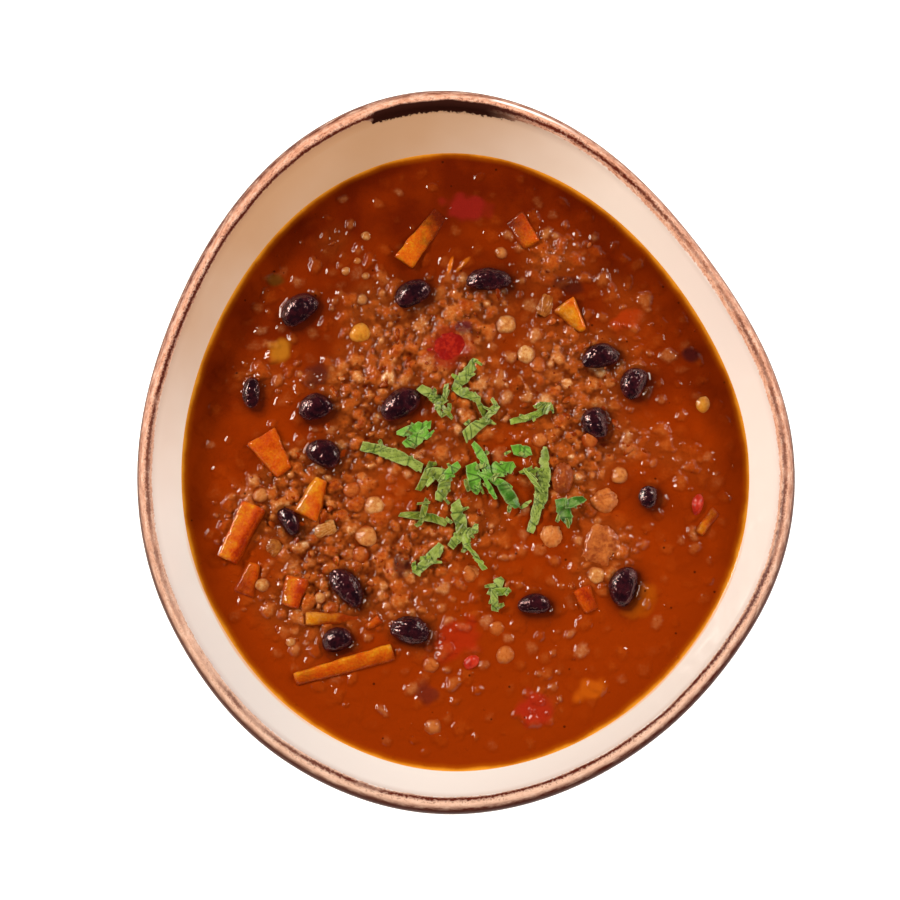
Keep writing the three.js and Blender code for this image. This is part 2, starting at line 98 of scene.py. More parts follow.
SUNK = (
    Sunk((-0.0033, 0.0655), (0.003, 0.0007), 75, "#C8640C", 0.9),
    Sunk((0.0009, 0.0662), (0.0032, 0.0008), 45, "#A8560E", 0.8),
    Sunk((-0.0036, 0.0376), (0.0078, 0.007), 20, "#82200F", 0.8),
    Sunk((0.0012, 0.0446), (0.003, 0.0028), 20, "#4A1420", 0.8),
    Sunk((0.0028, 0.0857), (0.0085, 0.0045), -12, "#781812", 0.85),
    Sunk((0.0244, -0.0826), (0.0062, 0.006), 20, "#962010", 0.8),
    Sunk((-0.0017, -0.06), (0.009, 0.0065), 30, "#9A200C", 0.6),
    Sunk((0.0773, 0.0353), (0.0034, 0.0026), 10, "#2A0E12", 0.75),
    Sunk((-0.0475, 0.0282), (0.005, 0.0045), 20, "#3A1614", 0.7),
    Sunk((0.0358, 0.0595), (0.0055, 0.003), 0, "#3A140C", 0.7),
    Sunk((-0.0111, -0.0773), (0.0045, 0.0036), -35, "#3A1418", 0.5),
    Sunk((-0.0191, -0.0352), (0.0034, 0.0034), 0, "#3A1614", 0.7),
    Sunk((-0.0596, 0.0367), (0.0045, 0.0036), 30, "#A86A18", 0.7),
    Sunk((0.0424, -0.0764), (0.0055, 0.004), 20, "#B4560C", 0.6),
    Sunk((0.059, -0.0468), (0.006, 0.0045), 60, "#A85408", 0.5),
    Sunk((-0.0618, 0.0609), (0.0028, 0.0022), 0, "#3E3A10", 0.5),
    Sunk((0.0551, 0.0472), (0.006, 0.0035), 30, "#A0300A", 0.5),
)


class Blade(NamedTuple):
    """A cut leaf blade: its two ends, width, share of the width at each end, and its look."""

    start: tuple
    end: tuple
    width: float
    ends: tuple
    tone: str = "sage"
    teeth: float = 0.0
    bow: float = 0.0
    lift: float = 0.0012


CORIANDER = (
    (
        Blade((-0.0134, 0.0244), (-0.005, 0.0188), 0.0036, (0.9, 0.9)),
        Blade((-0.0064, 0.0186), (-0.0038, 0.0234), 0.0022, (0.5, 0.7), "olive"),
        Blade((-0.0086, 0.0204), (-0.0062, 0.0146), 0.0019, (0.6, 0.8)),
        Blade((-0.0066, 0.0184), (-0.0028, 0.014), 0.0018, (0.7, 0.8), "olive"),
    ),
    (
        Blade((0.0056, 0.0338), (-0.0018, 0.0234), 0.0042, (0.7, 0.9), teeth=0.12),
        Blade((-0.0014, 0.0242), (0.0068, 0.0194), 0.0034, (0.8, 0.9), teeth=0.25),
        Blade((0.0054, 0.0202), (0.0098, 0.0118), 0.0024, (0.5, 0.6), "olive"),
        Blade((0.008, 0.013), (0.0126, 0.018), 0.0026, (0.7, 0.8), teeth=0.2),
        Blade((0.0086, 0.0132), (0.0014, 0.0072), 0.0046, (0.5, 0.8), teeth=0.15),
    ),
    (
        Blade((-0.021, 0.0088), (-0.0096, 0.0114), 0.0046, (0.3, 0.7), "fresh", teeth=0.22),
        Blade((-0.0184, 0.0044), (-0.0104, 0.0092), 0.0052, (0.4, 0.7), "fresh", teeth=0.18),
    ),
    (Blade((-0.0326, 0.0044), (-0.0124, -0.0029), 0.0044, (0.7, 0.9), teeth=0.08, bow=0.0008),),
    (
        Blade((-0.0094, -0.001), (-0.0139, -0.0104), 0.0035, (0.5, 0.7), "olive", bow=0.0005),
        Blade((-0.011, -0.0046), (-0.004, -0.0054), 0.005, (0.6, 0.8)),
        Blade((-0.007, -0.014), (-0.0042, -0.0062), 0.0046, (0.6, 0.8)),
        Blade((-0.0056, -0.0066), (-0.0002, -0.0018), 0.0032, (0.8, 0.8), "fresh"),
    ),
    (
        Blade((0.0036, -0.0016), (0.0057, -0.0119), 0.0056, (0.9, 0.1), "fresh"),
        Blade((0.0042, 0.0052), (0.0096, -0.005), 0.0032, (0.5, 0.6), "fresh", bow=0.0005),
        Blade((0.0068, -0.006), (0.018, -0.0016), 0.0062, (0.5, 0.5), "fresh", teeth=0.2),
        Blade((0.008, -0.0064), (0.0118, -0.0136), 0.0022, (0.5, 0.6), "fresh"),
        Blade((0.01, -0.0066), (0.0172, -0.01), 0.0034, (0.6, 0.5), "fresh"),
        Blade((0.0136, -0.0084), (0.0188, -0.0166), 0.0052, (0.7, 0.4), "dark"),
    ),
    (Blade((0.0172, 0.0032), (0.0236, 0.0026), 0.0044, (0.7, 0.7), "fresh"),),
    (
        Blade((0.0166, 0.0126), (0.03, 0.0174), 0.0027, (0.8, 0.9), "bright", bow=-0.0006),
        Blade((0.0262, 0.0188), (0.0308, 0.0176), 0.0022, (0.7, 0.6), "olive"),
    ),
    (
        Blade((0.0282, 0.0042), (0.0229, -0.0244), 0.005, (0.4, 0.5), teeth=0.12, bow=0.0014),
        Blade((0.0196, -0.0046), (0.0274, -0.0036), 0.0018, (0.5, 0.6), "bright"),
        Blade((0.021, -0.0034), (0.0274, -0.0116), 0.0017, (0.5, 0.7), "bright"),
    ),
    (
        Blade((0.0332, -0.0134), (0.0356, -0.0226), 0.0058, (0.8, 0.1), "dark", lift=0.0024),
        Blade((0.0346, -0.0156), (0.041, -0.0134), 0.0042, (0.8, 0.5), "dark", lift=0.0026),
    ),
    (
        Blade((-0.02, -0.0186), (-0.0042, -0.0214), 0.0034, (0.5, 0.8), "olive", bow=0.0009),
        Blade((-0.0126, -0.0196), (-0.0108, -0.0134), 0.0026, (0.8, 0.6), "olive", lift=0.0014),
    ),
    (
        Blade((-0.0018, -0.0144), (0.0012, -0.026), 0.005, (0.8, 0.8), teeth=0.1),
        Blade((-0.0032, -0.0294), (0.001, -0.024), 0.0038, (0.8, 0.7)),
        Blade((0.0002, -0.0246), (0.006, -0.024), 0.003, (0.8, 0.5)),
        Blade((0.0014, -0.025), (0.0026, -0.0304), 0.003, (0.7, 0.9), "bright"),
        Blade((0.0022, -0.0286), (0.0082, -0.037), 0.002, (0.8, 0.7), "bright", teeth=0.3),
    ),
    (Blade((-0.006, -0.0286), (-0.0148, -0.0382), 0.0042, (0.8, 0.8), teeth=0.1, bow=0.0006),),
    (
        Blade((0.014, -0.0396), (0.0102, -0.0454), 0.0046, (0.5, 0.8), teeth=0.1),
        Blade((0.0104, -0.0444), (0.0168, -0.0438), 0.003, (0.8, 0.2), "bright"),
        Blade((0.0112, -0.0436), (0.0114, -0.0506), 0.003, (0.8, 0.8)),
    ),
)


# Setting of every range with soft ends
SOFT_ENDS = {"interpolation_type": "SMOOTHSTEP"}


def linear(text):
    """Linear colour with full alpha from an sRGB hex value."""
    values = [int(text[i : i + 2], 16) / 255 for i in (1, 3, 5)]
    parts = [v / 12.92 if v <= 0.04045 else ((v + 0.055) / 1.055) ** 2.4 for v in values]
    return (*parts, 1.0)


def add(tree, kind, *values, out=0, stops=(), **named):
    """Adds a node and gives the output asked for. Values go to the open inputs in their order. A named
    value goes to the input of that name, which starts with a capital, or to the node's own setting."""
    node = tree.nodes.new(kind)
    for name, value in named.items():
        if name.islower():
            setattr(node, name, value)
    for place, (position, colour) in enumerate(stops):
        elements = node.color_ramp.elements
        element = elements[place] if place < len(elements) else elements.new(position)
        element.position = position
        element.color = colour
    pairs = list(zip((socket for socket in node.inputs if socket.enabled), values))
    for name, value in named.items():
        if not name.islower():
            pairs.append((node.inputs[name.replace("_", " ")], value))
    for socket, value in pairs:
        if isinstance(value, bpy.types.NodeSocket):
            tree.links.new(value, socket)
        else:
            socket.default_value = value
    if isinstance(out, str):
        return node.outputs[out]
    outputs = [socket for socket in node.outputs if socket.enabled]
    return outputs[out] if outputs else node


def color_prop(name, description, text):
    return bpy.props.FloatVectorProperty(
        name=name, description=description, subtype="COLOR", size=4, min=0, max=1, default=linear(text)
    )


def length_prop(name, description, default):
    return bpy.props.FloatProperty(
        name=name, description=description, default=default, unit="LENGTH", precision=5
    )


def power_prop(name, description, default):
    return bpy.props.FloatProperty(name=name, description=description, default=default, unit="POWER")


class BowlSettings(bpy.types.PropertyGroup):
    """Glaze and painted rim of the bowl."""

    glaze: color_prop("Glaze", "Cream glaze inside and outside", "#F2E6DC")
    paint: color_prop("Paint", "Thin, pale paint on the rim", "#C0866A")
    brown: color_prop("Brown", "Thick paint on the rim", "#521C10")
    dark: color_prop("Dark", "Pooled paint at the far side", "#2A0E07")
    # Painted shade: the darker, warmer glaze of the far-left wall
    warm: color_prop("Warm glaze", "Glaze at the far left", "#C49A75")
    clay: color_prop("Clay", "Bare clay under the foot", "#B48E6C")
    paint_reach: length_prop("Paint reach", "How far the paint runs in from the crest of the lip", 0.0028)


class SoupSettings(bpy.types.PropertyGroup):
    """Broth, lentils and grains."""

    # Painted shade of the rim: the deeper broth at the far side
    deep: color_prop("Deep", "Broth at the far side", "#541402")
    warm: color_prop("Warm", "Broth at the near side", "#822A02")
    oil: color_prop("Oil", "Oil that gathers along the wall", "#DA8E24")
    grain_density: bpy.props.FloatProperty(
        name="Grain density", description="Grains on each square metre of soup", default=18000, min=0
    )
    grain_gap: length_prop("Grain gap", "Least distance between the middles of two grains", 0.004)
    seed: bpy.props.IntProperty(name="Seed", description="Start of every random draw", default=5)


class FoodSettings(bpy.types.PropertyGroup):
    """Pieces of food in the soup."""

    bean: color_prop("Black bean", "Skin of the black beans", "#1A090F")
    carrot: color_prop("Carrot", "Cut faces of the carrots", "#B8580A")
    gold: color_prop("Pale carrot", "Carrots with the palest faces", "#C0780E")
    tomato: color_prop("Tomato", "Soft tomato", "#7E120C")
    chickpea: color_prop("Chickpea", "Chickpeas and pale beans", "#B0622A")
    potato: color_prop("Potato", "Soft potato", "#BC7A24")
    onion: color_prop("Onion", "Onion and celery", "#9A5C22")


class StageSettings(bpy.types.PropertyGroup):
    """Floor, lights and camera."""

    floor: color_prop("Floor", "Pale studio floor", "#F7F6F4")
    left_power: power_prop("Left window", "Soft window at the far left", 18)
    right_power: power_prop("Right window", "Soft window at the right", 14)
    strip_power: power_prop("Strip", "Small strip close by on the right", 0.3)
    fill_power: power_prop("Fill", "Warm, low fill from the near left", 8)


def rim_stretch(angle, climb):
    """How much the rim's waves stretch the radius at an angle and a share of the wall's height."""
    stretch = 1.0
    for wave in RIM_WAVES:
        swing = np.cos(wave.count * angle - math.radians(wave.turn))
        stretch = stretch + wave.share * climb**wave.fade * swing
    return stretch


def rim_middle():
    """Middle of the rim's waves, so that the rim's own box is centred on the origin."""
    angle = np.linspace(0, 2 * math.pi, 720, endpoint=False)
    stretch = rim_stretch(angle, 1.0)
    x = RIM_RADIUS * stretch * np.cos(angle)
    y = RIM_RADIUS * stretch * np.sin(angle)
    return -(x.min() + x.max()) / 2, -(y.min() + y.max()) / 2


RIM_MIDDLE = rim_middle()


def wall_climb(z):
    """How far a height is up the bowl's wall, from 0 at the foot to 1 at the lip."""
    return np.clip((z - FOOT_HEIGHT) / (LIP_LEVEL - FOOT_HEIGHT), 0.0, 1.0)


def outline_place(angle, radius, z):
    """Place on the bowl for an angle, a radius before the rim's waves and a height."""
    climb = wall_climb(z)
    stretch = rim_stretch(angle, climb)
    lean = 1.0 - climb
    x = RIM_MIDDLE[0] + radius * stretch * np.cos(angle) + FOOT_SHIFT[0] * lean
    y = RIM_MIDDLE[1] + radius * stretch * np.sin(angle) + FOOT_SHIFT[1] * lean
    return x, y


def inner_radius(z):
    climb = (z - FLOOR_HEIGHT) / (LIP_LEVEL - FLOOR_HEIGHT)
    return FLOOR_RADIUS + (RIM_RADIUS - LIP_THICKNESS - FLOOR_RADIUS) * climb**INNER_CURVE


def speckle(places, size):
    """Smooth noise from -1 to 1 at each place, with lumps of that size."""
    return np.array([noise.noise(place) for place in (places / size)])


def store(mesh, name, kind, values):
    """Keeps a value for each point of a mesh as a named attribute."""
    attribute = mesh.attributes.new(name, kind, "POINT")
    key = {"FLOAT": "value", "FLOAT_VECTOR": "vector", "FLOAT_COLOR": "color"}[kind]
    attribute.data.foreach_set(key, np.ascontiguousarray(values, dtype=np.float32).ravel())


def read_points(mesh, key):
    values = np.empty(len(mesh.vertices) * 3, dtype=np.float32)
    mesh.vertices.foreach_get(key, values)
    return values.reshape(-1, 3).astype(float)


def place_points(mesh, places):
    """Moves the points of a mesh to new places."""
    mesh.vertices.foreach_set("co", places.astype(np.float32).ravel())
    mesh.update()


def box_middle(places):
    return (places.min(0) + places.max(0)) / 2


def finish_piece(mesh, name, material, nodes=()):
    """Puts a finished mesh in the scene as a piece that rides on the bowl."""
    mesh.validate()
    mesh.shade_smooth()
    mesh.materials.clear()
    mesh.materials.append(material)
    piece = bpy.data.objects.new(name, mesh)
    bpy.context.scene.collection.objects.link(piece)
    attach(piece, "root")
    if nodes:
        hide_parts(*nodes)


def evaluated_mesh(holder):
    """Plain mesh of an object with its modifiers applied; the object itself is removed."""
    bpy.context.view_layer.update()
    depsgraph = bpy.context.evaluated_depsgraph_get()
    mesh = bpy.data.meshes.new_from_object(holder.evaluated_get(depsgraph))
    bpy.data.objects.remove(holder)
    return mesh


def new_holder(mesh):
    holder = bpy.data.objects.new(mesh.name, mesh)
    bpy.context.scene.collection.objects.link(holder)
    return holder


def new_material(name):
    """Material with a Principled shader joined to its output, and a function that adds nodes."""
    material = bpy.data.materials.new(name)
    material.use_nodes = True
    tree = material.node_tree
    tree.nodes.clear()
    shader = add(tree, "ShaderNodeBsdfPrincipled")
    add(tree, "ShaderNodeOutputMaterial", Surface=shader)
    return material, partial(add, tree), shader.node


def join(shader, **sockets):
    """Links outputs to the shader's inputs of those names."""
    for name, socket in sockets.items():
        shader.id_data.links.new(socket, shader.inputs[name.replace("_", " ")])


def fix(shader, **values):
    """Sets the shader's own values."""
    for name, value in values.items():
        shader.inputs[name.replace("_", " ")].default_value = value


class RimPaint(NamedTuple):
    """How the paint lies at one share of the way round the rim, which starts at the left and runs by
    the near side: how far in its dark line lies, how strong that is and how dark the outside is."""

    share: float
    line: float
    strength: float
    outer: float


RIM_PAINT = (
    RimPaint(0.0, 0.62, 0.6, 0.35),
    RimPaint(0.1, 0.6, 0.45, 0.4),
    RimPaint(0.25, 0.75, 0.8, 1.0),
    RimPaint(0.38, 0.74, 0.8, 1.0),
    RimPaint(0.5, 0.58, 0.55, 0.5),
    RimPaint(0.64, 0.56, 0.6, 0.5),
    RimPaint(0.71, 0.66, 1.0, 0.6),
    RimPaint(0.8, 0.8, 1.0, 0.9),
    RimPaint(0.9, 0.76, 1.0, 1.0),
    RimPaint(1.0, 0.62, 0.6, 0.35),
)


def glaze_material(bowl):
    """Stoneware, poured cream glaze: smooth gloss, with a rim brushed in iron oxide that the kiln
    pulled thin on the crest and let pool at the far side, and a bare foot."""
    material, node, shader = new_material("Stoneware, cream glaze with brushed iron rim")
    place = node("ShaderNodeTexCoord", out="Object")
    height = node("ShaderNodeSeparateXYZ", place, out="Z")
    band = node("ShaderNodeAttribute", attribute_name="band", out="Vector")
    way = node("ShaderNodeSeparateXYZ", band).node.outputs
    inward = way["Z"]

    # Brush streaks of 5 mm by 1 mm along the rim, scratches of 1 mm by 0.5 mm, breaks of about 12 mm
    # and specks of oxide of about 0.8 mm
    noises = []
    for scale, grain in (
        ((190, 190, 900), {"Detail": 6, "Roughness": 0.75}),
        ((900, 900, 1800), {"Detail": 3}),
        ((80, 80, 150), {"Detail": 4}),
        ((1100, 1100, 1300), {"Detail": 3}),
    ):
        scaled = node("ShaderNodeMapping", Vector=band, Scale=scale)
        noises.append(node("ShaderNodeTexNoise", Vector=scaled, Scale=1, **grain))
    streak, scratch, breaks, speck = noises

    turn = node("ShaderNodeMath", way["Y"], way["X"], operation="ARCTAN2")
    turn = node("ShaderNodeMapRange", turn, From_Min=-math.pi, From_Max=math.pi)
    stops = [(paint.share, (paint.line, paint.strength, paint.outer, 1.0)) for paint in RIM_PAINT]
    plan = node("ShaderNodeValToRGB", turn, stops=stops)
    plan = node("ShaderNodeSeparateColor", plan).node.outputs

    # Where the paint pooled at the far side: it starts at once on the left and thins to the right
    pool_turn = node("ShaderNodeMath", breaks, 0.014, turn, operation="MULTIPLY_ADD")
    pool_start = node("ShaderNodeMapRange", pool_turn, From_Min=0.8, From_Max=0.796)
    pool_end = node("ShaderNodeMapRange", pool_turn, From_Min=0.716, From_Max=0.744, **SOFT_ENDS)
    pool = node("ShaderNodeMath", pool_start, pool_end, operation="MULTIPLY")

    # Ragged inner edge of the paint, further in where it pooled
    reach = bowl.paint_reach
    for uneven, amount in ((pool, 0.0028), (speck, 0.0022), (breaks, 0.0018)):
        reach = node("ShaderNodeMath", uneven, amount, reach, operation="MULTIPLY_ADD")
    covered = node("ShaderNodeMath", reach, inward, operation="SUBTRACT")
    painted = node("ShaderNodeMapRange", covered, From_Min=0.0016, From_Max=0.0021, **SOFT_ENDS)
    outside = node("ShaderNodeMapRange", inward, From_Min=-0.0075, From_Max=-0.0055, **SOFT_ENDS)
    painted = node("ShaderNodeMath", painted, outside, operation="MULTIPLY")

    # Thin paint: pale peach with streaks and scratches, wiped paler at the near side
    thin = node("ShaderNodeMath", scratch, 0.45, streak, operation="MULTIPLY_ADD")
    stops = (
        (0.5, linear("#8A4630")),
        (0.6, tuple(bowl.paint)),
        (0.74, linear("#D6A086")),
        (0.9, linear("#E2BEA8")),
    )
    thin = node("ShaderNodeValToRGB", thin, stops=stops)
    wiped = node("ShaderNodeMapRange", way["Y"], From_Min=0.02, From_Max=-0.09, To_Max=0.6)
    # Dark line that wanders along the rim, whole where the paint is strong and broken elsewhere
    middle = node("ShaderNodeMapRange", plan["Red"], To_Min=-0.0046, To_Max=0.0034)
    middle = node("ShaderNodeMath", breaks, 0.0012, middle, operation="MULTIPLY_ADD")
    off_line = node("ShaderNodeMath", inward, middle, operation="SUBTRACT")
    off_line = node("ShaderNodeMath", off_line, operation="ABSOLUTE")
    off_line = node("ShaderNodeMath", speck, 0.0022, off_line, operation="MULTIPLY_ADD")
    line = node("ShaderNodeMapRange", off_line, From_Min=0.0022, From_Max=0.0014)
    whole = node("ShaderNodeMath", plan["Green"], 0.9, breaks, operation="MULTIPLY_ADD")
    whole = node("ShaderNodeMapRange", whole, From_Min=0.7, From_Max=1.05)
    strong = node("ShaderNodeMapRange", plan["Green"], From_Min=0.3, From_Max=0.7, To_Min=0.5)
    for share in (whole, strong):
        line = node("ShaderNodeMath", line, share, operation="MULTIPLY")
    # Specks beside the line, and stripes on the outer half
    specks = node("ShaderNodeMapRange", speck, From_Min=0.57, From_Max=0.63, To_Max=0.85)
    beside = node("ShaderNodeMapRange", off_line, From_Min=0.0042, From_Max=0.0022)
    for share in (plan["Green"], beside):
        specks = node("ShaderNodeMath", specks, share, operation="MULTIPLY")
    outer_half = node("ShaderNodeMapRange", inward, From_Min=-0.0002, From_Max=-0.0013)
    stripes = node("ShaderNodeMapRange", streak, From_Min=0.64, From_Max=0.44, To_Min=0.35)
    for share in (outer_half, plan["Blue"]):
        stripes = node("ShaderNodeMath", stripes, share, operation="MULTIPLY")
    for marks in (specks, stripes):
        line = node("ShaderNodeMath", line, marks, operation="MAXIMUM")
    # Dark edge on the outside of the lip: the paint's edge, darkened by painted shade of the lip's outer
    # face
    edge_paint_and_shade = node("ShaderNodeMath", wiped, -0.0016, inward, operation="MULTIPLY_ADD")
    edge_paint_and_shade = node(
        "ShaderNodeMapRange", edge_paint_and_shade, From_Min=-0.0018, From_Max=-0.003, To_Max=0.95, **SOFT_ENDS
    )
    # The pool shows from just inside the crest
    pool_top = node("ShaderNodeMath", breaks, -0.002, inward, operation="MULTIPLY_ADD")
    pool_top = node("ShaderNodeMapRange", pool_top, From_Min=-0.0004, From_Max=0.0002)
    pool = node("ShaderNodeMath", pool, pool_top, operation="MULTIPLY")
    # Painted highlight: a near-white line on the lip, to the right of the pool
    painted_highlight = node("ShaderNodeMath", breaks, -0.0008, inward, operation="MULTIPLY_ADD")
    painted_highlight = node("ShaderNodeMath", painted_highlight, 0.0013, operation="ADD")
    painted_highlight = node("ShaderNodeMath", painted_highlight, operation="ABSOLUTE")
    painted_highlight = node("ShaderNodeMapRange", painted_highlight, From_Min=0.0005, From_Max=0.0002)
    for first, last in ((0.737, 0.733), (0.69, 0.715)):
        share = node("ShaderNodeMapRange", turn, From_Min=first, From_Max=last)
        painted_highlight = node("ShaderNodeMath", painted_highlight, share, operation="MULTIPLY")
    paint = thin
    for share, over in (
        (wiped, linear("#D2B4A0")),
        (line, tuple(bowl.brown)),
        (edge_paint_and_shade, linear("#40180E")),
        # Near-white painted highlight
        (painted_highlight, linear("#FBF4EE")),
        (pool, tuple(bowl.dark)),
    ):
        paint = node("ShaderNodeMix", share, paint, over, data_type="RGBA")

    # Painted shade: the glaze is darker and warmer at the far left, in clouds of about 40 mm
    # It is pinker at the right, and painted shade makes it darker and cooler at the brightly lit near side
    far = node("ShaderNodeVectorMath", place, (-4.5, 6.5, 0), out="Value", operation="DOT_PRODUCT")
    clouds = node("ShaderNodeTexNoise", Vector=place, Scale=25, Detail=3)
    far = node("ShaderNodeMath", clouds, 0.25, far, operation="MULTIPLY_ADD")
    far = node("ShaderNodeMapRange", far, From_Min=0.35, From_Max=1.0, **SOFT_ENDS)
    right = node("ShaderNodeMapRange", way["X"], From_Min=0.04, From_Max=0.1, To_Max=0.7)
    cool = node("ShaderNodeMapRange", way["Y"], From_Min=0.0, From_Max=-0.09)
    # Tide line that the soup left on the wall at the near right and the near left
    near = node("ShaderNodeMapRange", way["Y"], From_Min=-0.02, From_Max=-0.05)
    flank = node("ShaderNodeMath", way["X"], operation="ABSOLUTE")
    flank = node("ShaderNodeMapRange", flank, From_Min=0.04, From_Max=0.07)
    inside = node("ShaderNodeMapRange", inward, From_Min=0.002, From_Max=0.004)
    wavy = node("ShaderNodeTexNoise", Vector=place, Scale=55, Detail=2)
    tide = node("ShaderNodeMath", wavy, 0.0014, SOUP_LEVEL + 0.0002, operation="MULTIPLY_ADD")
    tide = node("ShaderNodeMath", height, tide, operation="SUBTRACT")
    tide = node("ShaderNodeMath", tide, operation="ABSOLUTE")
    tide = node("ShaderNodeMapRange", tide, From_Min=0.0011, From_Max=0.0002, To_Max=0.7, **SOFT_ENDS)
    for share in (near, flank, inside):
        tide = node("ShaderNodeMath", tide, share, operation="MULTIPLY")
    # Bare clay under the foot
    bare = node("ShaderNodeMapRange", height, From_Min=0.0014, From_Max=0.0008)
    colour = tuple(bowl.glaze)
    for share, over in (
        (far, tuple(bowl.warm)),
        (right, linear("#E0D4D0")),
        (cool, linear("#DCD7D2")),
        (tide, linear("#E2A468")),
        (painted, paint),
        (bare, tuple(bowl.clay)),
    ):
        colour = node("ShaderNodeMix", share, colour, over, data_type="RGBA")

    # Clay and pooled paint are dull, and the thin paint is duller than the glaze
    pool = node("ShaderNodeMath", pool, painted, operation="MULTIPLY")
    matte = node("ShaderNodeMath", bare, pool, operation="MAXIMUM")
    rough = node("ShaderNodeMapRange", matte, To_Min=0.18, To_Max=0.85)
    rough = node("ShaderNodeMath", painted, 0.14, rough, operation="MULTIPLY_ADD")
    gloss = node("ShaderNodeMapRange", painted, To_Min=0.5, To_Max=0.15)
    # Soft hollows of the hand of about 12 mm, and the brushed paint
    hollows = node("ShaderNodeTexNoise", Vector=place, Scale=80, Detail=2)
    relief = node("ShaderNodeMath", painted, scratch, operation="MULTIPLY")
    relief = node("ShaderNodeMath", relief, 1.2, hollows, operation="MULTIPLY_ADD")
    bump = node("ShaderNodeBump", Height=relief, Strength=0.2, Distance=0.0004)
    join(shader, Base_Color=colour, Roughness=rough, Normal=bump, Specular_IOR_Level=gloss)
    fix(shader, IOR=1.5)
    return material


def broth_colour(node, place, soup):
    """Adds the broth's colour: deeper at the far side, a painted shade of the rim, and warmer at the near
    side, in clouds.
    """
    nearer = (0.1, -3.8, 0)
    rim_shade_slope = node("ShaderNodeVectorMath", place, nearer, out="Value", operation="DOT_PRODUCT")
    clouds = node("ShaderNodeTexNoise", Vector=place, Scale=60, Detail=4)
    side = node("ShaderNodeMath", clouds, 0.9, rim_shade_slope, operation="MULTIPLY_ADD")
    return node("ShaderNodeValToRGB", side, stops=((0.05, tuple(soup.deep)), (0.6, tuple(soup.warm))))


